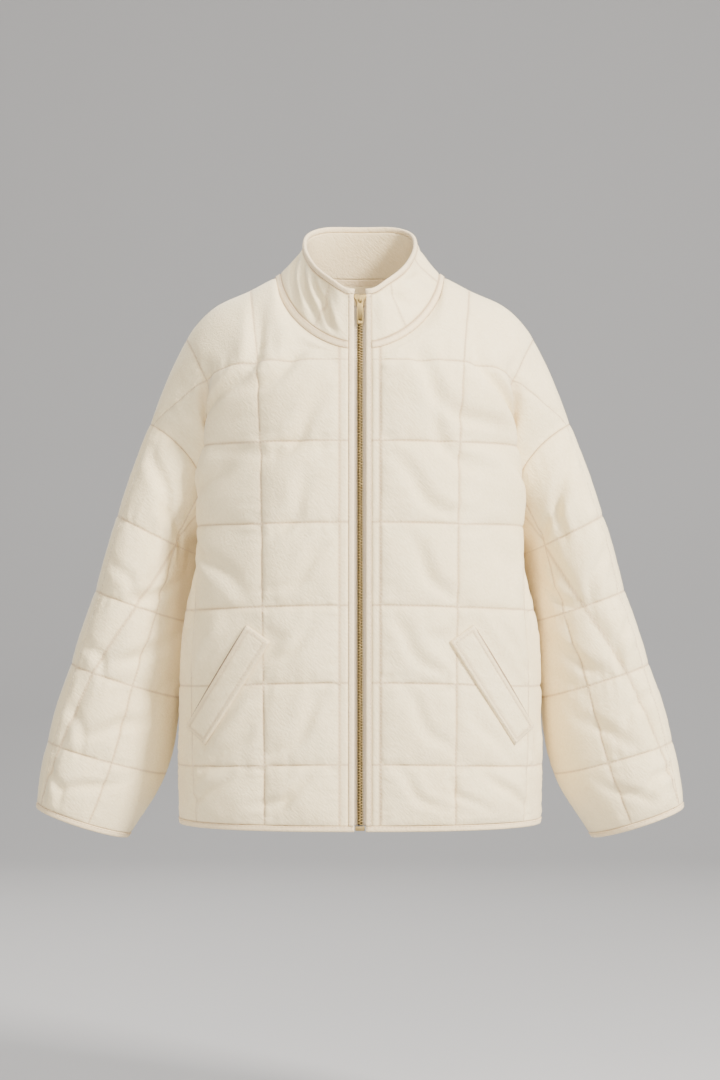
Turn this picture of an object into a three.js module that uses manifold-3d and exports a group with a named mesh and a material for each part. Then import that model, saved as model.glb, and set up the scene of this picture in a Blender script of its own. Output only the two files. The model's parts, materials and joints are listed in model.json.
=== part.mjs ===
// Quilted jacket with a stand collar, a full-length zip and slanted welt pockets, worn and hollow.
// Millimetres, +Z up. The front faces -Y and the wearer's left is at +X.
// The origin is the middle of the neck base, level with the high points of the shoulders.
// One half is worked out at +X, and the other half is its mirror.

import * as THREE from 'three';
import { mergeVertices } from 'three/addons/utils/BufferGeometryUtils.js';
import Module from 'manifold-3d';

// Cloth
const WALL = 3; // outer cloth, batting and inner cloth at a stitch line
const PUFF = 6; // height of a quilt cell over its stitch lines
const PUFF_FULLNESS = 0.55; // lower is squarer, 1 is a parabola from stitch to stitch
const SEAM_GAP = 0.3; // between sewn pieces
const CELL_STEPS = 3; // facets up a quilt cell of the body, and each way on a sleeve
const COLUMN_STEPS = 4; // facets across a quilt cell of the body
const FRONT_EDGE = 6.4; // from the middle of the zip to a bound front edge
const BINDING = 6.6; // width of the bound edges
const SQUARENESS = 2.4; // of the body in plan, where 2 is an ellipse

// Quilt lines round the body, from the hem seam up. z is at the centre, and the line droops
// towards the side. pocketLine and edgeLine are the x of the two outer upright quilt lines.
const BODY_ROWS = [
  { z: -622, halfWidth: 207, front: 118, back: 112, backWidth: 207, droop: 0, pocketLine: 106, edgeLine: 184 },
  { z: -554, halfWidth: 208, front: 121, back: 113, backWidth: 208, droop: 7, pocketLine: 106, edgeLine: 188 },
  { z: -463, halfWidth: 206, front: 124, back: 114, backWidth: 206, droop: 8, pocketLine: 107, edgeLine: 190 },
  { z: -377, halfWidth: 199, front: 125, back: 114, backWidth: 199, droop: 8, pocketLine: 108, edgeLine: 186 },
  { z: -285, halfWidth: 190, front: 123, back: 112, backWidth: 190, droop: 6, pocketLine: 109, edgeLine: 180 },
  { z: -194.5, halfWidth: 188, front: 118, back: 109, backWidth: 225, droop: 4, pocketLine: 111, edgeLine: 172 },
  { z: -104, halfWidth: 200, front: 110, back: 99, backWidth: 232, droop: 5, pocketLine: 116, edgeLine: 176 },
];
const TOP = BODY_ROWS.length;
const ARMPIT_ROW = 4;
const BACK_LINES = [0, 88, 160]; // x of the upright quilt lines of half the back

// The drape fold from the chest down to the armpit, on the three rows that end at the armhole:
// its rounded edge, its hollow and the cloth between the hollow and the armhole seam.
const FRONT_FOLD = [
  { row: 4, edge: [181, -50, -289], hollow: [182, -28, -292], beyond: [175, -3, -297] },
  { row: 5, edge: [175, -52, -199], hollow: [168, -29, -207], beyond: [170, -30, -223] },
  { row: 6, edge: [150, -76, -112], hollow: [176, -54, -124], beyond: [208, -30, -148] },
];
const BACK_BLADE = [
  { row: 4, beyond: [173, 48, -297] },
  { row: 5, beyond: [177, 84, -224] },
  { row: 6, beyond: [202, 58, -146] },
];

// Shoulder line from the neck to the top of the armhole, at equal steps
const SHOULDER = [
  [97, 5, -3],
  [131, 6, -21],
  [166.5, 7, -38.5],
  [193, 8, -65],
  [212, 8, -99],
  [227.5, 7, -135],
  [241, 5, -172],
];

// Sleeve rings from the armhole to the cuff seam. outer and inner are the two ends of a ring,
// front and back its half depths, and the scoops curve the armhole towards the chest.
// The angles are where the quilt lines cross: 0 is outer, 90 front, 180 under and 270 back.
const SLEEVE_RINGS = [
  { outer: [241, 5, -172], inner: [172, 23, -300], front: 42, back: 62, frontScoop: 24, backScoop: 12,
    angles: [0, 18, 105, 180, 255, 342, 360] },
  { outer: [286, 2, -276], inner: [197, 44, -320], front: 60, back: 62, frontScoop: 0, backScoop: 0,
    angles: [0, 28, 126, 180, 240, 325, 360] },
  { outer: [307, 2, -363], inner: [203, 44, -400], front: 62, back: 60, frontScoop: 0, backScoop: 0,
    angles: [0, 28, 112, 180, 245, 325, 360] },
  { outer: [333.5, 2, -447], inner: [209, 44, -488], front: 60, back: 59, frontScoop: 0, backScoop: 0,
    angles: [0, 28, 100, 180, 255, 325, 360] },
  { outer: [360, 2, -536], inner: [226, 38, -576], front: 58, back: 58, frontScoop: 0, backScoop: 0,
    angles: [0, 28, 98, 180, 258, 325, 360] },
  { outer: [371, 4, -606], inner: [265, 32, -641], front: 54, back: 54, frontScoop: 0, backScoop: 0,
    angles: [0, 28, 100, 180, 258, 325, 360] },
];
const CUFF = SLEEVE_RINGS.length - 1;
const SLEEVE_STEPS = 6 * CELL_STEPS;
// The slanted quilt line of the sleeve: where it crosses each ring, in quilt cells round from outer
const SLANT_LINE = [2.25, 2, 1.7, 1.4, 1.2, 1];

// Collar: an oval neck seam that dips at the front, and a tilted rim
const NECK = {
  halfWidth: 97, centreY: 5, front: 111, back: 70, sideZ: -3, frontDrop: 90, backDrop: 3, dipPower: 1.2,
};
const RIM = { halfWidth: 64, centreY: 2, front: 101, back: 54, frontZ: -31, rise: 0.55 };
const COLLAR_FLARE = 1.8;
const BAND_TOP = 0.13; // share of the collar's height that the neck band takes
const COLLAR_LINES = [35, 80, 125, 201, 255, 325]; // degrees round from the centre front
const COLLAR_PUFF = 3;
const BAND_LIFT = 0.4; // of the neck band over the collar's stitch lines
const NECK_STEPS = [8, 5]; // facets of the front panel to the shoulder, and of the back
const HEM_STEPS = 9; // facets of half the hem's back

// Pocket welt, seen from the front: x and z of its corners
const WELT = { topOuter: [126, -399], topInner: [99, -418], lowInner: [172, -535], lowOuter: [196, -516] };
const WELT_THICK = 3.2;
const WELT_EDGE = 0.6; // share of the thickness at the welt's long edges
const WELT_LIFT = 1.3; // clear of the quilted panel below it
const WELT_MARGIN = 14;

// Zip. Depths are behind the cloth's front, and the slider's shares and heights are on the collar.
const TAPE = { inner: 1.2, outer: 15, near: 4.1, far: 5.1 };
const CHAIN = { halfWidth: 3.2, near: 0.4, far: 3.8, top: 0.75 };
const SLIDER = { top: -33, bottom: -44, halfWidth: 5.6, tail: 4.2, waistShare: 0.55, back: 2.4, front: 2.2 };
const LUG = { halfWidth: 1.3, height: 4.4, depth: 3.8 };
const PULL = {
  clearance: 0.7, thick: 1.8, eyeTop: 1, eyeBottom: -4, prong: 3.4, waist: 2.2, tab: 4, shoulder: -10, tip: -27,
};
const STOP = { halfWidth: 5.2, height: 5, thick: 3.4 };

const COLOURS = { cloth: 0xe9dcc3, binding: 0xe2d0b6, tape: 0xe6d8be, metal: 0xb39a5c };

// Vector helpers on plain [x, y, z] arrays
const add = (p, q, scale = 1) => p.map((value, axis) => value + scale * q[axis]);
const sub = (p, q) => add(p, q, -1);
const length = (p) => Math.hypot(...p);
const unit = (p) => p.map((value) => value / length(p));
const lerp = (a, b, f) => a + (b - a) * f;
const lerpPoint = (p, q, f) => p.map((value, axis) => lerp(value, q[axis], f));
const clamp01 = (value) => Math.min(1, Math.max(0, value));
const radians = THREE.MathUtils.degToRad;

function cross(p, q) {
  return [p[1] * q[2] - p[2] * q[1], p[2] * q[0] - p[0] * q[2], p[0] * q[1] - p[1] * q[0]];
}

function smooth(value, low, high) {
  const f = clamp01((value - low) / (high - low));
  return f * f * (3 - 2 * f);
}

// Centripetal Catmull-Rom curve between p1 and p2
const LEAST_STEP = 1e-6;

function spline(p0, p1, p2, p3, f) {
  const gaps = [sub(p1, p0), sub(p2, p1), sub(p3, p2)];
  const [d0, d1, d2] = gaps.map((gap) => Math.sqrt(length(gap)) + LEAST_STEP);
  const [square, cube] = [f ** 2, f ** 3];
  const blend = [2 * cube - 3 * square + 1, cube - 2 * square + f, 3 * square - 2 * cube, cube - square];
  return p1.map((_, axis) => {
    const [a, b, c, d] = [p0[axis], p1[axis], p2[axis], p3[axis]];
    const leave = d1 * ((b - a) / d0 - (c - a) / (d0 + d1) + (c - b) / d1);
    const arrive = d1 * ((c - b) / d1 - (d - b) / (d1 + d2) + (d - c) / d2);
    return blend[0] * b + blend[1] * leave + blend[2] * c + blend[3] * arrive;
  });
}

// Curve through a list of points, with value 0 at the first and 1 for each step after it
function curveAt(points, value) {
  const last = points.length - 1;
  const i = Math.min(Math.max(Math.floor(value), 0), last - 1);
  const before = i > 0 ? points[i - 1] : add(points[0], sub(points[0], points[1]));
  const after = i + 2 <= last ? points[i + 2] : add(points[last], sub(points[last], points[last - 1]));
  return spline(before, points[i], points[i + 1], after, value - i);
}

// Value of a table of stops, on straight lines between them
function stopsAt(stops, values, value) {
  let i = 0;
  while (i < stops.length - 2 && value > stops[i + 1]) i += 1;
  return lerp(values[i], values[i + 1], (value - stops[i]) / (stops[i + 1] - stops[i]));
}

// Body in plan: angle 0 at the centre front or back, 90 degrees at the side seam
function planArc(row, halfWidth, depth, angle) {
  const x = halfWidth * Math.sin(angle) ** (2 / SQUARENESS);
  const y = depth * Math.max(0, Math.cos(angle)) ** (2 / SQUARENESS);
  return [x, y, row.z - row.droop * (x / row.halfWidth) ** 2];
}

const planAngle = (halfWidth, x) => Math.asin((x / halfWidth) ** (SQUARENESS / 2));

// Sleeve
function ringAt(t) {
  const numbers = SLEEVE_RINGS.map((ring) => (
    [...ring.outer, ...ring.inner, ring.front, ring.back, ring.frontScoop, ring.backScoop]));
  const found = curveAt(numbers, t);
  const angles = curveAt(SLEEVE_RINGS.map((ring) => ring.angles), t);
  return {
    outer: found.slice(0, 3), inner: found.slice(3, 6), depths: found.slice(6, 8), scoops: found.slice(8), angles,
  };
}

// Point of the sleeve: step goes round from outer through front, under and back, and t down the arm
function sleevePoint(step, t) {
  const ring = ringAt(t);
  const round = ((step % SLEEVE_STEPS) + SLEEVE_STEPS) % SLEEVE_STEPS;
  const stops = ring.angles.map((_, line) => line * CELL_STEPS);
  const angle = radians(stopsAt(stops, ring.angles, round));
  const side = Math.sin(angle) > 0 ? 0 : 1;
  const middle = lerpPoint(ring.inner, ring.outer, 0.5);
  const half = sub(ring.outer, middle);
  const inward = unit([-half[2], 0, half[0]]);
  const point = add(middle, half, Math.cos(angle));
  point[1] -= Math.sin(angle) * ring.depths[side];
  return add(point, inward, ring.scoops[side] * Math.sin(angle) ** 2);
}

const frontArmholeStep = (t) => CELL_STEPS * (TOP - t);
const backArmholeStep = (t) => CELL_STEPS * (3 + t - ARMPIT_ROW);
const ARMPIT = SLEEVE_RINGS[0].inner;

// Side seam, from the hem up to the armpit
const SIDE_SEAM = BODY_ROWS.slice(0, ARMPIT_ROW).map((row) => planArc(row, row.halfWidth, 0, Math.PI / 2));
SIDE_SEAM.push(ARMPIT);

// Neck seam and collar rim: angle 0 at the centre front, 180 at the centre back
function neckPoint(angle) {
  const c = Math.cos(angle);
  const depth = c > 0 ? NECK.front : NECK.back;
  const drop = c > 0 ? NECK.frontDrop * c ** NECK.dipPower : NECK.backDrop * -c;
  return [NECK.halfWidth * Math.sin(angle), NECK.centreY - depth * c, NECK.sideZ - drop];
}

function rimPoint(angle) {
  const c = Math.cos(angle);
  const y = RIM.centreY - (c > 0 ? RIM.front : RIM.back) * c;
  return [RIM.halfWidth * Math.sin(angle), y, RIM.frontZ + RIM.rise * (y - RIM.centreY + RIM.front)];
}

const EDGE_X = FRONT_EDGE + BINDING;
const STITCH_X = EDGE_X + 10;
const NECK_START = Math.asin(EDGE_X / NECK.halfWidth);
const NECK_STITCH = Math.asin(STITCH_X / NECK.halfWidth);
const NECK_STOPS = [NECK_START, NECK_STITCH, Math.PI / 2];
const RIM_START = Math.asin(EDGE_X / RIM.halfWidth);

function rimAngle(angle) {
  const half = Math.PI / 2;
  const fromSide = (angle > Math.PI ? 2 * Math.PI - angle : angle) - half;
  if (fromSide >= 0) return angle;
  const turned = half + fromSide * (half - RIM_START) / (half - NECK_START);
  return angle > Math.PI ? 2 * Math.PI - turned : turned;
}

// Collar: h is 0 at the neck seam and 1 at the rim,
// and its bound front edges stay upright.
function collarPoint(angle, h) {
  const low = neckPoint(angle);
  const high = rimPoint(rimAngle(angle));
  const inwards = 1 - (1 - h) ** COLLAR_FLARE;
  return [lerp(low[0], high[0], inwards), lerp(low[1], high[1], inwards), lerp(low[2], high[2], h)];
}

// Front panel: s is 0 at the bound edge, 1 at the zip stitching, 2 and 3 at the upright quilt
// lines and 4 at the side seam and armhole. t is 0 at the hem seam and counts the quilt lines.
const FRONT_END = 4;
const FRONT_SHOULDER = 1.75; // s where the neck seam meets the shoulder

function frontTop(s) {
  if (s <= FRONT_SHOULDER) {
    return neckPoint(stopsAt([0, 1, FRONT_SHOULDER], NECK_STOPS, s));
  }
  const along = stopsAt([FRONT_SHOULDER, 2, 3, FRONT_END], [0, 0.14, 0.55, 1], s);
  return curveAt(SHOULDER, along * (SHOULDER.length - 1));
}

function frontRow(i, s) {
  if (i < 0) return add(frontRow(0, s), sub(frontRow(0, s), frontRow(1, s)));
  if (i === TOP) return frontTop(s);
  if (i > TOP) return beyondTop(frontRow, s, FRONT_SHOULDER);
  const row = BODY_ROWS[i];
  const fold = FRONT_FOLD.find((entry) => entry.row === i);
  const angles = [EDGE_X, STITCH_X, row.pocketLine, row.edgeLine].map((x) => planAngle(row.halfWidth, x));
  const arc = (at) => (
    planArc(row, row.halfWidth, -row.front, stopsAt([0, 1, 2, 3, 4], [...angles, Math.PI / 2], at)));
  if (!fold || s <= 2) return arc(s);
  const seam = sleevePoint(frontArmholeStep(i), 0);
  const next = i === ARMPIT_ROW ? mirrorAcross(fold.beyond, seam) : sleevePoint(frontArmholeStep(i), 0.4);
  const points = [arc(1.5), arc(2), fold.edge, fold.hollow, fold.beyond, seam, next];
  return curveAt(points, 1 + (s - 2) * 2);
}

// Half of the back panel: s is 0 at the centre back, 1 and 2 at quilt lines and 3 at the side
const BACK_END = 3;
const BACK_SHOULDER = 1;

function backTop(s) {
  if (s <= BACK_SHOULDER) return neckPoint(lerp(Math.PI, Math.PI / 2, s));
  const along = stopsAt([BACK_SHOULDER, 2, BACK_END], [0, 0.45, 1], s);
  return curveAt(SHOULDER, along * (SHOULDER.length - 1));
}

function backRow(i, s) {
  if (i < 0) return add(backRow(0, s), sub(backRow(0, s), backRow(1, s)));
  if (i === TOP) return backTop(s);
  if (i > TOP) return beyondTop(backRow, s, BACK_SHOULDER);
  const row = BODY_ROWS[i];
  const blade = BACK_BLADE.find((entry) => entry.row === i);
  const angles = BACK_LINES.map((x) => planAngle(row.backWidth, x));
  const arc = (at) => (
    planArc(row, row.backWidth, row.back, stopsAt([0, 1, 2, 3], [...angles, Math.PI / 2], at)));
  if (!blade || s <= 2) return arc(s);
  const seam = sleevePoint(backArmholeStep(i), 0);
  const next = i === ARMPIT_ROW ? mirrorAcross(blade.beyond, seam) : sleevePoint(backArmholeStep(i), 0.4);
  return curveAt([arc(1.5), arc(2), blade.beyond, seam, next], 1 + (s - 2) * 2);
}

const mirrorAcross = (point, centre) => [point[0], 2 * centre[1] - point[1], point[2]];

// Carries a panel's upright curves on past its top: over the shoulder, or on up the neck
function beyondTop(rowOf, s, shoulder) {
  const top = rowOf(TOP, s);
  const below = rowOf(TOP - 1, s);
  const up = add(top, sub(top, below), 0.6);
  const over = mirrorAcross(below, top);
  return lerpPoint(up, over, smooth(s, shoulder - 0.4, shoulder + 0.4));
}

function panelPoint(rowOf, end, armholeStep, s, t) {
  const i = Math.min(Math.floor(t), TOP - 1);
  const across = (at) => spline(...[-1, 0, 1, 2].map((k) => rowOf(i + k, at)), t - i);
  const point = across(s);
  const pull = smooth(s, end - 1, end);
  if (pull === 0) return point;
  const edge = t <= ARMPIT_ROW ? curveAt(SIDE_SEAM, t) : sleevePoint(armholeStep(t), 0);
  return add(point, sub(edge, across(end)), pull);
}

const frontPoint = (s, t) => panelPoint(frontRow, FRONT_END, frontArmholeStep, s, t);

function backPoint(s, t) {
  const half = panelPoint(backRow, BACK_END, backArmholeStep, Math.abs(s), t);
  return [Math.sign(s) * half[0], half[1], half[2]];
}

// Outward unit normal of a surface, kept inside its range of u and v
const NORMAL_STEP = 0.01;

function normalOf(surface, u, v) {
  const { point, uRange, vRange, facing } = surface;
  const along = (a, b, c, d) => sub(point(a, b), point(c, d));
  const [u0, u1] = [Math.max(u - NORMAL_STEP, uRange[0]), Math.min(u + NORMAL_STEP, uRange[1])];
  const [v0, v1] = [Math.max(v - NORMAL_STEP, vRange[0]), Math.min(v + NORMAL_STEP, vRange[1])];
  return unit(cross(along(u1, v, u0, v), along(u, v1, u, v0))).map((value) => facing * value);
}

const FRONT = { point: frontPoint, uRange: [0, FRONT_END], vRange: [0, TOP], facing: 1 };
const BACK = { point: backPoint, uRange: [-BACK_END, BACK_END], vRange: [0, TOP], facing: -1 };
const SLEEVE = { point: sleevePoint, uRange: [-Infinity, Infinity], vRange: [0, CUFF], facing: 1 };
const COLLAR = { point: collarPoint, uRange: [-Infinity, Infinity], vRange: [0, 1], facing: 1 };

const meanNormal = (...normals) => unit(normals.reduce((sum, normal) => add(sum, normal)));

// Normals that two sewn pieces share along their seam, so that their walls end face to face
function armholeNormal(step) {
  const round = ((step % SLEEVE_STEPS) + SLEEVE_STEPS) % SLEEVE_STEPS;
  const sleeve = normalOf(SLEEVE, round, 0);
  const half = SLEEVE_STEPS / 2;
  const onFront = () => normalOf(FRONT, FRONT_END, TOP - round / CELL_STEPS);
  const onBack = () => normalOf(BACK, BACK_END, ARMPIT_ROW + (round - half) / CELL_STEPS);
  if (round === half) return meanNormal(onFront(), onBack(), sleeve, sleeve);
  if (round === 0) {
    return meanNormal(normalOf(FRONT, FRONT_END, TOP), normalOf(BACK, BACK_END, TOP), sleeve, sleeve);
  }
  return meanNormal(round < half ? onFront() : onBack(), sleeve);
}

function sideNormal(t) {
  if (t === ARMPIT_ROW) return armholeNormal(SLEEVE_STEPS / 2);
  return meanNormal(normalOf(FRONT, FRONT_END, t), normalOf(BACK, BACK_END, t));
}

function neckNormal(angle) {
  const c = Math.cos(angle);
  const collar = normalOf(COLLAR, angle, 0);
  const round = Math.acos(c);
  if (c > LEAST_STEP) {
    const s = stopsAt(NECK_STOPS, [0, 1, FRONT_SHOULDER], Math.max(round, NECK_START));
    return meanNormal(normalOf(FRONT, s, TOP), collar);
  }
  const s = 2 * (1 - round / Math.PI);
  return meanNormal(normalOf(BACK, s, TOP), collar);
}

function shoulderNormal(topOf, s) {
  const along = sub(topOf(s + NORMAL_STEP), topOf(s - NORMAL_STEP));
  return unit([-along[2], 0, along[0]]);
}

// Quilting: height of the outer cloth over the stitch lines
const pillow = (f) => (4 * f * (1 - f)) ** PUFF_FULLNESS;
const cellPillow = (value) => pillow(value - Math.floor(value));
const NARROW_CELL = 0.12; // share of the puff left in the narrow strip beside the zip
const ARMPIT_CALM = [25, 95]; // distances from the armpit over which the puff grows to its full height
const SLANT_DEPTH = 0.35; // share of the puff left on the sleeve's slanted line
const UNDER_CALM = 0.7; // share of the puff lost where the sleeve lies beside the body
const SIDE_PUFF = 0.6; // share of the puff beside the side seam and the armhole

function nearArmpit([x, y, z]) {
  return smooth(length(sub([Math.abs(x), y, z], ARMPIT)), ...ARMPIT_CALM);
}

// 1 on the pocket welt and 0 a margin away from it
function onWelt(point) {
  const [a, b, d] = [WELT.topOuter, WELT.topInner, WELT.lowOuter];
  const across = [b[0] - a[0], b[1] - a[1]];
  const down = [d[0] - a[0], d[1] - a[1]];
  const from = [point[0] - a[0], point[2] - a[1]];
  const share = (axis) => (from[0] * axis[0] + from[1] * axis[1]) / (axis[0] ** 2 + axis[1] ** 2);
  const outside = (axis) => Math.max(0, -share(axis), share(axis) - 1) * Math.hypot(...axis);
  return 1 - smooth(Math.max(outside(across), outside(down)), WELT_MARGIN / 2, 2 * WELT_MARGIN);
}

function frontLift(s, t) {
  const point = frontPoint(s, t);
  const strip = s < 1 ? NARROW_CELL : 1;
  const topCell = t > TOP - 1 ? lerp(0.2, 1, smooth(s, 1, 2)) : 1;
  const side = s > 3 ? SIDE_PUFF : 1;
  const puff = PUFF * strip * topCell * side * nearArmpit(point) * cellPillow(s) * cellPillow(t);
  return puff * (1 - onWelt(point));
}

function backLift(s, t) {
  const side = Math.abs(s) > 2 ? SIDE_PUFF : 1;
  return PUFF * side * nearArmpit(backPoint(s, t)) * cellPillow(s) * cellPillow(t);
}

function sleeveLift(step, t) {
  const round = ((step % SLEEVE_STEPS) + SLEEVE_STEPS) % SLEEVE_STEPS;
  const cell = round / CELL_STEPS;
  const topCell = cell < 1 || cell > 5;
  const around = topCell ? pillow(((cell + 1) % 6) / 2) : cellPillow(cell);
  const slant = curveAt(SLANT_LINE.map((value) => [value]), t)[0];
  const besideSlant = lerp(SLANT_DEPTH, 1, smooth(Math.abs(cell - slant), 0, 0.4));
  const under = 1 - smooth(Math.abs(cell - 3), 0.5, 1.25);
  const touching = 1 - UNDER_CALM * under * (1 - smooth(t, 3, 4));
  return PUFF * around * cellPillow(t) * besideSlant * touching * nearArmpit(sleevePoint(step, t));
}

function collarLift(angle, h) {
  const degrees = (THREE.MathUtils.radToDeg(angle) + 360) % 360;
  const nearest = Math.min(...COLLAR_LINES.map((line) => Math.abs(degrees - line)));
  const up = pillow(clamp01((h - BAND_TOP) / (1 - BAND_TOP)));
  const fromEdge = Math.min(degrees, 360 - degrees) - THREE.MathUtils.radToDeg(NECK_START);
  return COLLAR_PUFF * up * smooth(nearest, 0, 18) * smooth(fromEdge, 0, 12);
}

// Meshes
function closedMesh(name, positions, triangles, colour, shine = {}) {
  const corner = (index) => positions[index];
  const volume = triangles.reduce((sum, [a, b, c]) => {
    const normal = cross(corner(b), corner(c));
    return sum + corner(a).reduce((dot, value, axis) => dot + value * normal[axis], 0);
  }, 0);
  const outward = volume > 0 ? triangles : triangles.map(([a, b, c]) => [a, c, b]);
  const geometry = new THREE.BufferGeometry();
  geometry.setAttribute('position', new THREE.Float32BufferAttribute(positions.flat(), 3));
  geometry.setIndex(outward.flat());
  geometry.computeVertexNormals();
  const material = new THREE.MeshStandardMaterial({ color: colour, roughness: 0.92, metalness: 0, ...shine });
  const mesh = new THREE.Mesh(geometry, material);
  mesh.name = name;
  return mesh;
}

const METAL = { roughness: 0.35, metalness: 1 };

// Two triangles of a four-sided facet, split along its shorter diagonal
function splitQuad(corners, [a, b, c, d]) {
  const apart = (p, q) => length(sub(corners[p], corners[q]));
  if (apart(a, c) <= apart(b, d)) return [[a, b, c], [a, c, d]];
  return [[a, b, d], [b, c, d]];
}

// Cloth wall over a surface: raised outer points over a plain inside. sewn says which of its
// four edges meet a neighbour, and seamNormal gives the normals shared there.
function clothWall({
  name, surface, us, vs, lift, sewn = {}, seamNormal = () => null, round = false, mirror = false,
}) {
  const { point } = surface;
  const columns = us.length;
  const rows = vs.length;
  const outer = [];
  const inner = [];
  const pinch = NORMAL_STEP;
  for (let i = 0; i < columns; i += 1) {
    for (let j = 0; j < rows; j += 1) {
      const [u, v] = [us[i], vs[j]];
      let place = point(u, v);
      const normal = seamNormal(i, j, u, v) ?? normalOf(surface, u, v);
      const retreat = (a, b) => { place = add(place, unit(sub(point(a, b), point(u, v))), SEAM_GAP / 2); };
      if (sewn.uStart && i === 0) retreat(u + pinch, v);
      if (sewn.uEnd && i === columns - 1) retreat(u - pinch, v);
      if (sewn.vStart && j === 0) retreat(u, v + pinch);
      if (sewn.vEnd && j === rows - 1) retreat(u, v - pinch);
      outer.push(add(place, normal, lift(u, v)));
      inner.push(add(place, normal, -WALL));
    }
  }
  const at = (i, j, side) => side * columns * rows + (i % columns) * rows + j;
  const triangles = [];
  const corners = [...outer, ...inner];
  const quad = (...ring) => triangles.push(...splitQuad(corners, ring));
  const lastColumn = round ? columns : columns - 1;
  for (let i = 0; i < lastColumn; i += 1) {
    for (let j = 0; j < rows - 1; j += 1) {
      quad(at(i, j, 0), at(i + 1, j, 0), at(i + 1, j + 1, 0), at(i, j + 1, 0));
      quad(at(i, j, 1), at(i, j + 1, 1), at(i + 1, j + 1, 1), at(i + 1, j, 1));
    }
    quad(at(i, 0, 0), at(i, 0, 1), at(i + 1, 0, 1), at(i + 1, 0, 0));
    quad(at(i, rows - 1, 0), at(i + 1, rows - 1, 0), at(i + 1, rows - 1, 1), at(i, rows - 1, 1));
  }
  if (!round) {
    for (let j = 0; j < rows - 1; j += 1) {
      quad(at(0, j, 0), at(0, j + 1, 0), at(0, j + 1, 1), at(0, j, 1));
      const end = columns - 1;
      quad(at(end, j, 0), at(end, j, 1), at(end, j + 1, 1), at(end, j + 1, 0));
    }
  }
  const sign = mirror ? -1 : 1;
  const positions = corners.map(([x, y, z]) => [sign * x, y, z]);
  return closedMesh(name, positions, triangles, COLOURS.cloth);
}

// Triangles across the end of a strip, as rungs between the two long sides of its section
function endCap(sides) {
  const triangles = [];
  let [low, high] = [0, sides - 1];
  while (high - low > 1) {
    triangles.push([low, low + 1, high]);
    low += 1;
    if (high - low > 1) triangles.push([low, high - 1, high]);
    high -= 1;
  }
  return triangles;
}

// Strip with one cross-section at each station, closed at its ends or joined round
function strip(name, stations, { round = false, mirror = false, colour = COLOURS.binding, shine = {} } = {}) {
  const sides = stations[0].length;
  const sign = mirror ? -1 : 1;
  const positions = stations.flat().map(([x, y, z]) => [sign * x, y, z]);
  const at = (i, k) => (i % stations.length) * sides + (k % sides);
  const triangles = [];
  const last = round ? stations.length : stations.length - 1;
  for (let i = 0; i < last; i += 1) {
    for (let k = 0; k < sides; k += 1) {
      triangles.push(...splitQuad(positions, [at(i, k), at(i + 1, k), at(i + 1, k + 1), at(i, k + 1)]));
    }
  }
  if (!round) {
    const end = stations.length - 1;
    for (const [a, b, c] of endCap(sides)) {
      triangles.push([at(0, a), at(0, b), at(0, c)], [at(end, a), at(end, c), at(end, b)]);
    }
  }
  return closedMesh(name, positions, triangles, colour, shine);
}

// Bound edge: its section as distances away from the sewn edge and out along the cloth's normal
const BOUND_SECTION = [[0, 0.4], [0.35, 1.4], [0.8, 1.1], [1, -1.3], [0.8, -3.5], [0.35, -3.8], [0, -3.2]];

function boundSection(place, away, normal, width = BINDING) {
  return BOUND_SECTION.map(([across, up]) => {
    const out = SEAM_GAP / 2 + across * (width - SEAM_GAP / 2);
    return add(add(place, away, out), normal, up);
  });
}

const steps = (from, to, count) => Array.from({ length: count + 1 }, (_, i) => lerp(from, to, i / count));

// Grids of the panels, with each quilt line on a grid line
const panelRows = steps(0, TOP, TOP * CELL_STEPS);
const frontColumns = [0, ...steps(1, 2, NECK_STEPS[0]), ...steps(2, FRONT_END, 2 * COLUMN_STEPS).slice(1)];
const halfBackColumns = [...steps(0, 1, NECK_STEPS[1]), ...steps(1, BACK_END, 2 * COLUMN_STEPS).slice(1)];
const backColumns = [...halfBackColumns.slice(1).map((s) => -s).reverse(), ...halfBackColumns];

function frontPanel(name, mirror) {
  const seamNormal = (i, j, s, t) => {
    if (s === FRONT_END) return t < ARMPIT_ROW ? sideNormal(t) : armholeNormal(frontArmholeStep(t));
    if (t === TOP && s <= FRONT_SHOULDER) {
      return neckNormal(stopsAt([0, 1, FRONT_SHOULDER], NECK_STOPS, s));
    }
    if (t === TOP) return shoulderNormal(frontTop, s);
    if (s > 0) return null;
    const normal = normalOf(FRONT, s, t);
    return unit([0, normal[1], normal[2]]);
  };
  const sewn = { uStart: true, uEnd: true, vStart: true, vEnd: true };
  const grid = { surface: FRONT, us: frontColumns, vs: panelRows };
  return clothWall({ name, ...grid, lift: frontLift, sewn, seamNormal, mirror });
}

function backPanel() {
  const seamNormal = (i, j, s, t) => {
    const turn = (normal) => [Math.sign(s) * normal[0], normal[1], normal[2]];
    const half = Math.abs(s);
    if (half === BACK_END) {
      return turn(t < ARMPIT_ROW ? sideNormal(t) : armholeNormal(backArmholeStep(t)));
    }
    if (t === TOP && s === 0) return neckNormal(Math.PI);
    if (t === TOP && half <= BACK_SHOULDER) return turn(neckNormal(lerp(Math.PI, Math.PI / 2, half)));
    if (t === TOP) return turn(shoulderNormal(backTop, half));
    return null;
  };
  const sewn = { uStart: true, uEnd: true, vStart: true, vEnd: true };
  const grid = { surface: BACK, us: backColumns, vs: panelRows };
  return clothWall({ name: 'back', ...grid, lift: backLift, sewn, seamNormal });
}

function sleeve(name, mirror) {
  const us = steps(0, SLEEVE_STEPS, SLEEVE_STEPS).slice(0, -1);
  const vs = steps(0, CUFF, CUFF * CELL_STEPS);
  const seamNormal = (i, j, step, t) => (t === 0 ? armholeNormal(step) : null);
  const sewn = { vStart: true, vEnd: true };
  const grid = { surface: SLEEVE, us, vs, round: true };
  return clothWall({ name, ...grid, lift: sleeveLift, sewn, seamNormal, mirror });
}

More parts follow.
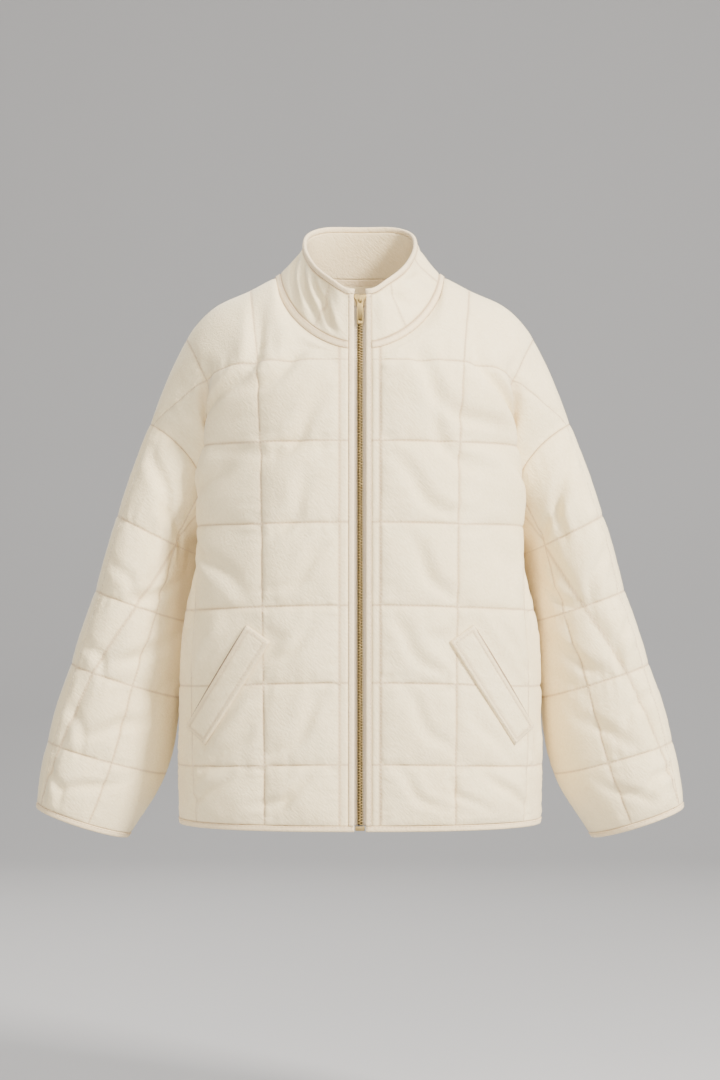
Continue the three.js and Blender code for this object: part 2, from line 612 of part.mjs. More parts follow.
function cuffBinding(name, mirror) {
  const stations = steps(0, SLEEVE_STEPS, SLEEVE_STEPS).slice(0, -1).map((step) => {
    const place = sleevePoint(step, CUFF);
    const away = unit(sub(place, sleevePoint(step, CUFF - NORMAL_STEP)));
    return boundSection(place, away, normalOf(SLEEVE, step, CUFF));
  });
  return strip(name, stations, { round: true, mirror });
}

// Collar and neck band share the angles of the panels' neck edges
const halfNeckAngles = [
  ...frontColumns.filter((s) => s <= FRONT_SHOULDER).map((s) => stopsAt([0, 1, FRONT_SHOULDER], NECK_STOPS, s)),
  ...steps(Math.PI / 2, Math.PI, NECK_STEPS[1]).slice(1),
];
const neckAngles = [
  ...halfNeckAngles,
  ...halfNeckAngles.slice(0, -1).map((angle) => 2 * Math.PI - angle).reverse(),
];

// The collar's front edges end square to the zip
function neckSeamNormal(i, j, angle, h) {
  const level = i === 0 || i === neckAngles.length - 1 ? 0 : 1;
  if (h > 0 && level) return null;
  const normal = h > 0 ? normalOf(COLLAR, angle, h) : neckNormal(angle > Math.PI ? 2 * Math.PI - angle : angle);
  return unit([level * Math.sign(Math.PI - angle) * normal[0], normal[1], normal[2]]);
}

function neckBand() {
  const sewn = { uStart: true, uEnd: true, vStart: true, vEnd: true };
  const options = { surface: COLLAR, us: neckAngles, vs: [0, BAND_TOP / 2, BAND_TOP], sewn };
  return clothWall({ name: 'neck_band', lift: () => BAND_LIFT, seamNormal: neckSeamNormal, ...options });
}

function collar() {
  const sewn = { uStart: true, uEnd: true, vStart: true, vEnd: true };
  const options = { surface: COLLAR, us: neckAngles, vs: steps(BAND_TOP, 1, CELL_STEPS), sewn };
  return clothWall({ name: 'collar', lift: collarLift, seamNormal: neckSeamNormal, ...options });
}

function collarBinding() {
  const start = NECK_START * FRONT_EDGE / EDGE_X;
  const angles = [start, ...neckAngles, 2 * Math.PI - start];
  const stations = angles.map((angle) => {
    const place = collarPoint(angle, 1);
    const away = unit(sub(place, collarPoint(angle, 1 - NORMAL_STEP)));
    return boundSection(place, away, normalOf(COLLAR, angle, 1));
  });
  return strip('collar_binding', stations);
}

function hemBinding() {
  const row = BODY_ROWS[0];
  const lines = [EDGE_X, STITCH_X, row.pocketLine, row.edgeLine].map((x) => planAngle(row.halfWidth, x));
  const frontAngles = [planAngle(row.halfWidth, FRONT_EDGE),
    ...frontColumns.map((s) => stopsAt([0, 1, 2, 3, 4], [...lines, Math.PI / 2], s))];
  const quarter = (angles, depth) => angles.map((angle) => {
    const place = planArc(row, row.halfWidth, depth, angle);
    const [before, after] = [angle - NORMAL_STEP, angle + NORMAL_STEP].map((a) => (
      planArc(row, row.halfWidth, depth, Math.min(Math.max(a, 0), Math.PI / 2))));
    const along = unit(sub(after, before));
    const outward = depth < 0 ? 1 : -1;
    const normal = [outward * along[1], -outward * along[0], 0];
    return boundSection(place, [0, 0, -1], normal);
  });
  const mirrored = (sections) => sections.map((section) => section.map(([x, y, z]) => [-x, y, z])).reverse();
  const front = quarter(frontAngles, -row.front);
  const back = quarter(steps(Math.PI / 2, 0, HEM_STEPS).slice(1), row.back);
  return strip('hem_binding', [...front, ...back, ...mirrored(back).slice(1), ...mirrored(front)]);
}

// Front edge, from the hem seam to a share of the collar, as places with the cloth's normal
function frontEdge(collarShare = 1) {
  const body = panelRows.map((t) => ({ place: frontPoint(0, t), normal: normalOf(FRONT, 0, t) }));
  const neck = steps(0, collarShare, CELL_STEPS).slice(1).map((h) => (
    { place: collarPoint(NECK_START, h), normal: normalOf(COLLAR, NECK_START, h) }));
  return [...body, ...neck].map(({ place, normal }) => ({ place, normal: unit([0, normal[1], normal[2]]) }));
}

function frontBinding(name, mirror) {
  const edge = frontEdge();
  const trim = 2 * SEAM_GAP;
  const stations = edge.map(({ place, normal }, i) => {
    const shift = i === 0 ? trim : i === edge.length - 1 ? -trim : 0;
    return boundSection([EDGE_X, place[1], place[2] + shift], [-1, 0, 0], normal);
  });
  return strip(name, stations, { mirror });
}

// Flat strips of the zip, between two distances from its middle and two depths behind the cloth
function zipStrip(name, low, high, near, far, collarShare, options) {
  const stations = frontEdge(collarShare).map(({ place, normal }) => {
    const corner = (x, depth) => add([x, place[1], place[2]], normal, -depth);
    return [corner(low, near), corner(high, near), corner(high, far), corner(low, far)];
  });
  return strip(name, stations, options);
}

const zipTape = (name, mirror) => (
  zipStrip(name, TAPE.inner, TAPE.outer, TAPE.near, TAPE.far, 1, { mirror, colour: COLOURS.tape }));

function zipChain() {
  const { halfWidth, near, far, top } = CHAIN;
  return zipStrip('zip_chain', -halfWidth, halfWidth, near, far, top, { colour: COLOURS.metal, shine: METAL });
}

const rectangle = (halfWidth, low, high) => (
  [[-halfWidth, low], [halfWidth, low], [halfWidth, high], [-halfWidth, high]]);

// Plate with its outline in x and z, from y forward by its depth
function plate(outline, y, depth) {
  const shape = new THREE.Shape(outline.map(([x, z]) => new THREE.Vector2(x, z)));
  const geometry = new THREE.ExtrudeGeometry(shape, { depth, bevelEnabled: false });
  geometry.rotateX(Math.PI / 2);
  geometry.translate(0, y, 0);
  return geometry;
}

function metalPiece(name, geometry) {
  const mesh = new THREE.Mesh(geometry, new THREE.MeshStandardMaterial({ color: COLOURS.metal, ...METAL }));
  mesh.name = name;
  return mesh;
}

const wasm = await Module();
wasm.setup();

function joined(first, second) {
  const [a, b] = [first, second].map((geometry) => {
    geometry.deleteAttribute('normal');
    geometry.deleteAttribute('uv');
    const merged = mergeVertices(geometry);
    const triVerts = Uint32Array.from(merged.index.array);
    const vertProperties = merged.attributes.position.array;
    return new wasm.Manifold(new wasm.Mesh({ numProp: 3, vertProperties, triVerts }));
  });
  const { vertProperties, triVerts } = a.add(b).getMesh();
  const geometry = new THREE.BufferGeometry();
  geometry.setAttribute('position', new THREE.BufferAttribute(vertProperties, 3));
  geometry.setIndex(new THREE.BufferAttribute(triVerts, 1));
  geometry.computeVertexNormals();
  return geometry;
}

// The slider's front plate and the lug that the pull tab turns on
const SLIDER_Z = (SLIDER.top + SLIDER.bottom) / 2;
const sliderShare = (SLIDER_Z - NECK.sideZ + NECK.frontDrop) / (RIM.frontZ - NECK.sideZ + NECK.frontDrop);
const SLIDER_Y = collarPoint(NECK_START, sliderShare)[1];
const PULL_Y = SLIDER_Y - SLIDER.front - PULL.clearance; // back of the pull tab
const HINGE_Z = SLIDER.top - LUG.height;

function zipSlider() {
  const { halfWidth, tail, top, bottom, back, front } = SLIDER;
  const waist = lerp(top, bottom, SLIDER.waistShare);
  const half = [[halfWidth, top], [halfWidth, waist], [tail, bottom]];
  const outline = [...half.map(([x, z]) => [-x, z]), ...[...half].reverse()];
  const body = plate(outline, SLIDER_Y + back, back + front);
  const [low, high] = [HINGE_Z - LUG.height / 2, HINGE_Z + LUG.height / 2];
  const lug = plate(rectangle(LUG.halfWidth, low, high), SLIDER_Y, front + LUG.depth);
  return metalPiece('zip_slider', joined(body, lug));
}

// Pull tab: two prongs beside the lug, a waist and a tab, hanging from its hinge
function zipPull() {
  const eye = LUG.halfWidth + SEAM_GAP;
  const { prong, waist, tab, eyeTop, eyeBottom, shoulder, tip } = PULL;
  const half = [[eye, eyeTop], [prong, eyeTop], [prong, eyeBottom], [waist, eyeBottom - waist],
    [waist, shoulder], [tab, shoulder - waist], [tab, tip + 1], [tab - 1, tip]];
  const left = [...half].reverse().map(([x, z]) => [-x, z]);
  const outline = [...half, ...left, [-eye, eyeBottom], [eye, eyeBottom]].map(([x, z]) => [x, z + HINGE_Z]);
  return metalPiece('zip_pull', plate(outline, PULL_Y, PULL.thick));
}

function zipStop() {
  const { place } = frontEdge()[0];
  const [low, high] = [place[2] - SEAM_GAP - STOP.height, place[2] - SEAM_GAP];
  const { halfWidth, thick } = STOP;
  return metalPiece('zip_stop', plate(rectangle(halfWidth, low, high), place[1] + CHAIN.far, thick));
}

// Steps s and t of the front panel where it is seen at x and z
function onFront(x, z) {
  const tries = 16;
  let [s, t] = [FRONT_END / 2, TOP / 2];
  for (let i = 0; i < tries; i += 1) {
    const point = frontPoint(s, t);
    const across = sub(frontPoint(s + NORMAL_STEP, t), point);
    const up = sub(frontPoint(s, t + NORMAL_STEP), point);
    const [dx, dz] = [x - point[0], z - point[2]];
    const scale = NORMAL_STEP / (across[0] * up[2] - across[2] * up[0]);
    s = Math.min(FRONT_END - NORMAL_STEP, s + scale * (dx * up[2] - dz * up[0]));
    t += scale * (across[0] * dz - across[2] * dx);
  }
  return [s, t];
}

// Height of the panel's facets over its stitch lines
function facetLift(s, t) {
  const column = Math.max(0, frontColumns.findLastIndex((value) => value <= s));
  const row = Math.floor(t * CELL_STEPS);
  const [s0, s1] = [frontColumns[column], frontColumns[column + 1]];
  const [t0, t1] = [panelRows[row], panelRows[row + 1]];
  const f = (s - s0) / (s1 - s0);
  const low = lerp(frontLift(s0, t0), frontLift(s1, t0), f);
  const high = lerp(frontLift(s0, t1), frontLift(s1, t1), f);
  return lerp(low, high, (t - t0) / (t1 - t0));
}

function pocketWelt(name, mirror) {
  const { topOuter, topInner, lowInner, lowOuter } = WELT;
  const stations = steps(0, 1, 10).map((f) => {
    const ends = [lerpPoint(topOuter, lowOuter, f), lerpPoint(topInner, lowInner, f)];
    const found = [0, 0.5, 1].map((across) => {
      const [s, t] = onFront(...lerpPoint(ends[0], ends[1], across));
      const base = WELT_LIFT + facetLift(s, t);
      const thick = WELT_THICK * (across === 0.5 ? 1 : WELT_EDGE);
      const place = frontPoint(s, t);
      const normal = normalOf(FRONT, s, t);
      return { under: add(place, normal, base), over: add(place, normal, base + thick) };
    });
    return [...found.map(({ under }) => under), ...found.reverse().map(({ over }) => over)];
  });
  return strip(name, stations, { mirror, colour: COLOURS.cloth });
}

const jacket = new THREE.Group();
jacket.add(
  frontPanel('front_left', false),
  frontPanel('front_right', true),
  backPanel(),
  sleeve('sleeve_left', false),
  sleeve('sleeve_right', true),
  collar(),
  neckBand(),
  collarBinding(),
  frontBinding('front_binding_left', false),
  frontBinding('front_binding_right', true),
  hemBinding(),
  cuffBinding('cuff_binding_left', false),
  cuffBinding('cuff_binding_right', true),
  zipTape('zip_tape_left', false),
  zipTape('zip_tape_right', true),
  zipChain(),
  zipSlider(),
  zipPull(),
  zipStop(),
  pocketWelt('pocket_welt_left', false),
  pocketWelt('pocket_welt_right', true),
);

export default jacket;
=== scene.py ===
# Quilted jacket with a stand collar, dressed over its construction model.
# Shapes are worked out in millimetres, as in the construction, and meshes are written in metres.
# Half of the jacket is worked out at +X, the wearer's left, and mirrored with its own creases.
import json
import math

import bpy
import numpy as np
from mathutils import Vector
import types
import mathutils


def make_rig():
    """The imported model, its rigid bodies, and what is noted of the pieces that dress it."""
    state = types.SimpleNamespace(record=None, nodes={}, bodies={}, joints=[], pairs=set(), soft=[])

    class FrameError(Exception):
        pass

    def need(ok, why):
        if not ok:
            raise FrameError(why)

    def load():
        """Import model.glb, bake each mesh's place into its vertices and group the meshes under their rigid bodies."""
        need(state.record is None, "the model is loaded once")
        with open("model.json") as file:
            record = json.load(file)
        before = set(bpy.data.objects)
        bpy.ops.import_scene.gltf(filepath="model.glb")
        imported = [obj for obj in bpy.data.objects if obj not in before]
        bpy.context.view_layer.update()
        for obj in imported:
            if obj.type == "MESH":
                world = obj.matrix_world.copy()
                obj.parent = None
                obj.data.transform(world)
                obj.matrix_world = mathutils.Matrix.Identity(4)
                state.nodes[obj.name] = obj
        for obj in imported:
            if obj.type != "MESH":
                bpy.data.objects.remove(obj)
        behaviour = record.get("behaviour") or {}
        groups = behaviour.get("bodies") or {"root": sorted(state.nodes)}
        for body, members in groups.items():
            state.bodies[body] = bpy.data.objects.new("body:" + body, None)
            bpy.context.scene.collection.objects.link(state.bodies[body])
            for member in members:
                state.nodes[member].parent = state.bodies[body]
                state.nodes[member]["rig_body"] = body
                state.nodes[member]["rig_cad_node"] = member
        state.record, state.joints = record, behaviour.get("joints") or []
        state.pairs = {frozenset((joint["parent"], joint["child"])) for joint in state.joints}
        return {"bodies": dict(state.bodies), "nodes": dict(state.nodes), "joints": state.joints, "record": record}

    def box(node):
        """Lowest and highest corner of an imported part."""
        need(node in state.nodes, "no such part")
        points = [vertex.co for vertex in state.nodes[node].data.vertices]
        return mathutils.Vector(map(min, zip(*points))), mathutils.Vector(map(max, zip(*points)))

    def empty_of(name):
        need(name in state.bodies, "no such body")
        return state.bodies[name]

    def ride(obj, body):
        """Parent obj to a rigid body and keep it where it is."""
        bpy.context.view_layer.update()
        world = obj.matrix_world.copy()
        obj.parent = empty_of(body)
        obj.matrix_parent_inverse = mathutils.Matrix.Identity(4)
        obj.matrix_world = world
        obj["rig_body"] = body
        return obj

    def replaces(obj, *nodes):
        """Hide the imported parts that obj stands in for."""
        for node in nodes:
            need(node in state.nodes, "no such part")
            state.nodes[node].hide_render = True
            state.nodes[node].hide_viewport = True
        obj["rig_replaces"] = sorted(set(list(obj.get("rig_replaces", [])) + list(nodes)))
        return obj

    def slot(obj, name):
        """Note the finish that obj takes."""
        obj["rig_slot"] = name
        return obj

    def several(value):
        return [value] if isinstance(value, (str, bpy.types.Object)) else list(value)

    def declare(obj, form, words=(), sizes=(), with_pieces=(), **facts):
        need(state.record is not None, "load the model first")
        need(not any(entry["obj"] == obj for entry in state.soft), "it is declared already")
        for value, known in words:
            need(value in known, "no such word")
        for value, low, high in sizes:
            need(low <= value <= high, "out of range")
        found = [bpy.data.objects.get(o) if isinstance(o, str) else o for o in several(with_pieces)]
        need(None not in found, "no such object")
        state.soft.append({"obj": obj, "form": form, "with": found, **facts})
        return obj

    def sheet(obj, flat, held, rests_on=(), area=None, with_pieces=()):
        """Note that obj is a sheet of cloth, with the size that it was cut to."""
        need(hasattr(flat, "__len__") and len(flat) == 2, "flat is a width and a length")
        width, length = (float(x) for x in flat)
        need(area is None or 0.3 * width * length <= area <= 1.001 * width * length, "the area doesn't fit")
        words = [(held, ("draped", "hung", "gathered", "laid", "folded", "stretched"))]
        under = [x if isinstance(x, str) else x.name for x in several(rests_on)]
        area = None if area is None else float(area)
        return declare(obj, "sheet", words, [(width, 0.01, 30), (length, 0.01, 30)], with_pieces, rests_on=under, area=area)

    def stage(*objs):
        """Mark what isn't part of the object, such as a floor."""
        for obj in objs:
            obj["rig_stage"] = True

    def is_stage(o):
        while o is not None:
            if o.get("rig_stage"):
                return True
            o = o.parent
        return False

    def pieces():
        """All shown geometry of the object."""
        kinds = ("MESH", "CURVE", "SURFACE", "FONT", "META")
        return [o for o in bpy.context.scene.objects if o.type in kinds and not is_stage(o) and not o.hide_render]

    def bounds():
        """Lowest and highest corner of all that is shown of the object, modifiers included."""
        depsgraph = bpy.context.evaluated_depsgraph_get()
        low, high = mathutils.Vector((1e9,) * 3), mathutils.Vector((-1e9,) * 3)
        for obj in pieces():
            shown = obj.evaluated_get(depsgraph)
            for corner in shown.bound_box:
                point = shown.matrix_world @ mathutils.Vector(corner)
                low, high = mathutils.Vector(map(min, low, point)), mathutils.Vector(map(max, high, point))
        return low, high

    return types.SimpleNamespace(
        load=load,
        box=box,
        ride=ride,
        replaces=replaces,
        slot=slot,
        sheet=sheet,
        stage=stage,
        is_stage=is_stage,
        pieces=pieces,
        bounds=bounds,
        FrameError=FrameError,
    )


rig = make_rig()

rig.load()
CAD_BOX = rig.bounds()
JACKET = "jacket"
PULL_BODY = "pull_tab"
MM = 0.001

# Cloth
WALL = 3.0
PUFF = 6.0  # height of a quilt cell over its stitch lines
PUFF_FULLNESS = 0.5  # power of a cell's curve: smaller is flatter on top and steeper at the lines
FRONT_EDGE = 6.4
BINDING = 6.6
SQUARENESS = 2.4
FINE = 22  # facets across a quilt cell
BESIDE_LINE = 0.011  # share of a cell from a stitch line to the next points

# Quilt lines round the body, from the hem seam up: height at the centre, half width, front and
# back depth, half width of the back, droop to the side, and x of the two outer upright lines
BODY_ROWS = [
    dict(z=-622, wide=207, front=118, back=112, back_wide=207, droop=0, pocket=106, edge=184),
    dict(z=-554, wide=208, front=121, back=113, back_wide=208, droop=7, pocket=106, edge=188),
    dict(z=-463, wide=206, front=124, back=114, back_wide=206, droop=8, pocket=107, edge=190),
    dict(z=-377, wide=199, front=125, back=114, back_wide=199, droop=8, pocket=108, edge=186),
    dict(z=-285, wide=190, front=123, back=112, back_wide=190, droop=6, pocket=109, edge=180),
    dict(z=-194.5, wide=188, front=118, back=109, back_wide=225, droop=4, pocket=111, edge=172),
    dict(z=-104, wide=200, front=110, back=99, back_wide=232, droop=5, pocket=116, edge=176),
]
TOP = len(BODY_ROWS)
ARMPIT_ROW = 4
BACK_LINES = [0, 88, 160]

# Places on the drape fold from the chest down to the armpit, and on the shoulder blade behind, by
# the row they lie on. The last of each row is the one before the armhole seam.
FRONT_FOLD = {4: [(181, -50, -289), (182, -28, -292), (175, -3, -297)],
              5: [(175, -52, -199), (168, -29, -207), (170, -30, -223)],
              6: [(150, -76, -112), (176, -54, -124), (208, -30, -148)]}
BACK_BLADE = {4: [(173, 48, -297)], 5: [(177, 84, -224)], 6: [(202, 58, -146)]}
SHOULDER = [(97, 5, -3), (131, 6, -21), (166.5, 7, -38.5), (193, 8, -65), (212, 8, -99), (227.5, 7, -135),
            (241, 5, -172)]

# Sleeve rings from the armhole to the cuff seam, and the angles where quilt lines cross them
SLEEVE_RINGS = [
    dict(outer=(241, 5, -172), inner=(172, 23, -300), depth=(42, 62), scoop=(24, 12),
         angles=(0, 18, 105, 180, 255, 342, 360)),
    dict(outer=(278, 2, -277), inner=(194, 44, -320), depth=(60, 62), scoop=(0, 0),
         angles=(0, 28, 126, 180, 240, 325, 360)),
    dict(outer=(303, 2, -363), inner=(200.5, 44, -400), depth=(62, 60), scoop=(0, 0),
         angles=(0, 28, 112, 180, 245, 325, 360)),
    dict(outer=(331, 2, -447), inner=(209, 44, -488), depth=(60, 59), scoop=(0, 0),
         angles=(0, 28, 100, 180, 255, 325, 360)),
    dict(outer=(358, 2, -536), inner=(226, 38, -576), depth=(58, 58), scoop=(0, 0),
         angles=(0, 28, 98, 180, 258, 325, 360)),
    dict(outer=(371, 4, -606), inner=(266, 32, -644), depth=(54, 54), scoop=(0, 0),
         angles=(0, 28, 100, 180, 258, 325, 360)),
]
CUFF = len(SLEEVE_RINGS) - 1
SLEEVE_CELLS = 6
SLANT_LINE = [2.25, 2, 1.7, 1.4, 1.2, 1]

# Collar
NECK = dict(wide=97, y=5, front=111, back=70, side_z=-3, front_drop=90, back_drop=3, dip=1.2)
COLLAR_FLARE = 1.5
BAND_TOP = 0.13
COLLAR_LINES = [35, 80, 125, 201, 255, 325]
EDGE_X = FRONT_EDGE + BINDING
EDGE_STRIP = 10
STITCH_X = EDGE_X + EDGE_STRIP
NECK_START = math.asin(EDGE_X / NECK["wide"])
NECK_STITCH = math.asin(STITCH_X / NECK["wide"])
QUARTER = math.pi / 2

# One side of the collar's rim, by degrees round the neck seam: upright at the zip, then up a
# straight slope to a corner beside the nape and level across the back
RIM = {0: (0, -99, -31), math.degrees(NECK_START): (EDGE_X, -98, -31), 32: (32, -86, -19), 60: (52, -56, -1),
       90: (65, -8, 26), 118: (61, 27, 44), 145: (43, 47, 52.5), 180: (0, 56.5, 54)}


def vec(*values):
    return np.array(values, dtype=float)


MIRROR = vec(-1, 1, 1)

# Pocket welt corners seen from the front, as x and z
WELT = dict(top_outer=vec(126, -399), top_inner=vec(99, -418),
            low_inner=vec(172, -535), low_outer=vec(196, -516))


def length(p):
    return np.linalg.norm(p, axis=-1, keepdims=True)


def unit(p):
    return p / np.maximum(length(p), 1e-9)


def lerp(a, b, f):
    return a + (b - a) * f


def smooth(value, low, high):
    f = np.clip((value - low) / (high - low), 0, 1)
    return f * f * (3 - 2 * f)


def spline(p0, p1, p2, p3, f):
    """Centripetal Catmull-Rom curve between p1 and p2."""
    d0, d1, d2 = (np.sqrt(length(b - a)) + 1e-6 for a, b in ((p0, p1), (p1, p2), (p2, p3)))
    leave = d1 * ((p1 - p0) / d0 - (p2 - p0) / (d0 + d1) + (p2 - p1) / d1)
    arrive = d1 * ((p2 - p1) / d1 - (p3 - p1) / (d1 + d2) + (p3 - p2) / d2)
    return ((2 * f**3 - 3 * f**2 + 1) * p1 + (f**3 - 2 * f**2 + f) * leave
            + (3 * f**2 - 2 * f**3) * p2 + (f**3 - f**2) * arrive)


def curve_at(points, value):
    points = [np.asarray(p, dtype=float) for p in points]
    last = len(points) - 1
    i = min(max(int(math.floor(value)), 0), last - 1)
    before = points[i - 1] if i > 0 else 2 * points[0] - points[1]
    after = points[i + 2] if i + 2 <= last else 2 * points[last] - points[last - 1]
    return spline(before, points[i], points[i + 1], after, value - i)


def plan_arc(row, wide, depth, angle):
    x = wide * math.sin(angle) ** (2 / SQUARENESS)
    y = depth * max(0.0, math.cos(angle)) ** (2 / SQUARENESS)
    return vec(x, y, row["z"] - row["droop"] * (x / row["wide"]) ** 2)


def plan_angle(wide, x):
    return math.asin((x / wide) ** (SQUARENESS / 2))


def ring_at(t):
    numbers = [[*r["outer"], *r["inner"], *r["depth"], *r["scoop"]] for r in SLEEVE_RINGS]
    found = curve_at(numbers, t)
    return found[:3], found[3:6], found[6:8], found[8:], curve_at([r["angles"] for r in SLEEVE_RINGS], t)


def sleeve_point(cell, t):
    """Point of the sleeve: cell counts its six quilt cells round from outer, and t goes down the arm."""
    outer, inner, depth, scoop, angles = ring_at(t)
    angle = math.radians(np.interp(cell % SLEEVE_CELLS, range(SLEEVE_CELLS + 1), angles))
    side = 0 if math.sin(angle) > 0 else 1
    half = (outer - inner) / 2
    inward = unit(vec(-half[2], 0, half[0]))
    point = inner + half + half * math.cos(angle) - vec(0, math.sin(angle) * depth[side], 0)
    return point + inward * scoop[side] * math.sin(angle) ** 2


def neck_point(angle):
    c = math.cos(angle)
    depth = NECK["front"] if c > 0 else NECK["back"]
    drop = NECK["front_drop"] * c ** NECK["dip"] if c > 0 else -NECK["back_drop"] * c
    return vec(NECK["wide"] * math.sin(angle), NECK["y"] - depth * c, NECK["side_z"] - drop)


def rim_point(angle):
    half = min(angle, 2 * math.pi - angle)
    points = [vec(*place) for place in RIM.values()]
    along = np.interp(math.degrees(half), list(RIM), range(len(RIM)))
    point = curve_at([points[1] * MIRROR, *points, points[-2] * MIRROR], along + 1)
    return point * MIRROR if angle > math.pi else point


def collar_point(angle, h):
    low, high = neck_point(angle), rim_point(angle)
    inwards = 1 - (1 - h) ** COLLAR_FLARE
    return vec(lerp(low[0], high[0], inwards), lerp(low[1], high[1], inwards), lerp(low[2], high[2], h))


# Front panel: s is 0 at the bound edge, 1 at the zip stitching, 2 and 3 at upright quilt lines and
# 4 at the side seam and armhole. t is 0 at the hem seam and counts the quilt lines.
FRONT_END = 4
BACK_END = 3
SHOULDER_EASE = 0.4
ONWARDS = 0.6  # share of its last step that an upright line runs on past the neck seam
PAST_SEAM = 0.4  # step down the sleeve that gives a row its slope at the armhole
INNER_CELL = 3  # the sleeve's line along its inner side


def mirror_across(point, centre):
    return vec(point[0], 2 * centre[1] - point[1], point[2])


class Half:
    """Half of the front or back, from its middle out to the side seam and armhole.

    The neck's angles and the shares of the shoulder line are given by s. Lines are where the upright
    quilt lines cross a row: an x, or the name of one in the row.
    """

    def __init__(self, facing, wide, depth, lines, folds, neck, shoulder):
        self.facing, self.wide, self.depth, self.lines, self.folds = facing, wide, depth, lines, folds
        self.neck, self.shoulder = neck, shoulder
        self.turn, self.end = min(shoulder), max(shoulder)

    def cell(self, t):
        """Line of the sleeve that meets the armhole at t."""
        return INNER_CELL + self.facing * (t - ARMPIT_ROW)

    def top(self, s):
        if s <= self.turn:
            return neck_point(np.interp(s, list(self.neck), list(self.neck.values())))
        along = np.interp(s, list(self.shoulder), list(self.shoulder.values()))
        return curve_at(SHOULDER, along * (len(SHOULDER) - 1))

    def beyond_top(self, s):
        """Place past the top seam, for the slope there: onwards at the neck, mirrored at the shoulder."""
        top, below = self.point(TOP, s), self.point(TOP - 1, s)
        on_shoulder = smooth(s, self.turn - SHOULDER_EASE, self.turn + SHOULDER_EASE)
        return lerp(top + ONWARDS * (top - below), mirror_across(below, top), on_shoulder)

    def point(self, i, s):
        if i < 0:
            return 2 * self.point(0, s) - self.point(1, s)
        if i == TOP:
            return self.top(s)
        if i > TOP:
            return self.beyond_top(s)
        row = BODY_ROWS[i]
        wide, depth = row[self.wide], self.facing * row[self.depth]
        angles = [plan_angle(wide, row.get(line, line)) for line in self.lines] + [QUARTER]

        def arc(at):
            return plan_arc(row, wide, depth, np.interp(at, range(len(angles)), angles))

        if i not in self.folds or s <= 2:
            return arc(s)
        *fold, beyond = [vec(*place) for place in self.folds[i]]
        seam = sleeve_point(self.cell(i), 0)
        after = mirror_across(beyond, seam) if i == ARMPIT_ROW else sleeve_point(self.cell(i), PAST_SEAM)
        return curve_at([arc(1.5), arc(2), *fold, beyond, seam, after], 1 + (s - 2) * 2)

    def grid(self, s_values, t_values):
        """Points of the half, as an array over s and t."""
        rows = np.array([[self.point(i, s) for s in [*s_values, self.end]] for i in range(-1, TOP + 2)])
        pull = np.array([smooth(s, self.end - 1, self.end) for s in s_values])[:, None]
        columns = []
        for t in t_values:
            i = min(int(t), TOP - 1)
            across = spline(*rows[i:i + 4], t - i)
            edge = curve_at(SIDE_SEAM, t) if t <= ARMPIT_ROW else sleeve_point(self.cell(t), 0)
            columns.append(across[:-1] + pull * (edge - across[-1]))
        return np.array(columns).transpose(1, 0, 2)


FRONT_HALF = Half(-1, "wide", "front", (EDGE_X, STITCH_X, "pocket", "edge"), FRONT_FOLD,
                  {0: NECK_START, 1: NECK_STITCH, 1.75: QUARTER}, {1.75: 0, 2: 0.14, 3: 0.55, FRONT_END: 1})
BACK_HALF = Half(1, "back_wide", "back", BACK_LINES, BACK_BLADE, {0: math.pi, 1: QUARTER},
                 {1: 0, 2: 0.45, BACK_END: 1})
SIDE_SEAM = [plan_arc(row, row["wide"], 0, QUARTER) for row in BODY_ROWS[:ARMPIT_ROW]]
SIDE_SEAM.append(vec(*SLEEVE_RINGS[0]["inner"]))


def normals_of(points, facing, closed=False):
    if closed:
        wrapped = np.concatenate([points[-1:], points, points[:1]])
        across = (wrapped[2:] - wrapped[:-2]) / 2
    else:
        across = np.gradient(points, axis=0)
    return unit(np.cross(across, np.gradient(points, axis=1))) * facing


EVENLY = 0.45  # share of even spacing, where the rest is drawn towards the stitch lines


def fine_steps(first, last, per_cell=FINE):
    """Steps with every whole number on one of them, closer together beside the whole numbers."""
    even = np.linspace(0, 1, per_cell + 1)[1:-1]
    eased = EVENLY * even + (1 - EVENLY) * (0.5 - 0.5 * np.cos(np.pi * even))
    steps = np.concatenate([[0, BESIDE_LINE], eased, [1 - BESIDE_LINE]])
    return np.concatenate([*[cell + steps for cell in range(first, last)], [last]])


# Quilting and creases
def pillow(value):
    f = value - np.floor(value)
    return (4 * f * (1 - f)) ** PUFF_FULLNESS


CELL_SIZE = 90.0
DRAPE = 1.75  # how much deeper creases are than their rows say
SOFT_SIDE, STEEP_SIDE = 0.6, 1.5  # how fast the two sides of a crease fall away
RIDGE, RIDGE_AWAY, RIDGE_WIDTH = 0.45, 1.9, 1.1  # raised cloth beside the soft side, in crease widths
BOW, WANDER = 0.09, 0.04  # sideways bend of a crease, in its own lengths
PUCKER_PITCH = (3.0, 8.5)
PUCKER_REACH = 15
RIPPLES, SWELLS = 5, 9  # waves in the puckers and in the padding


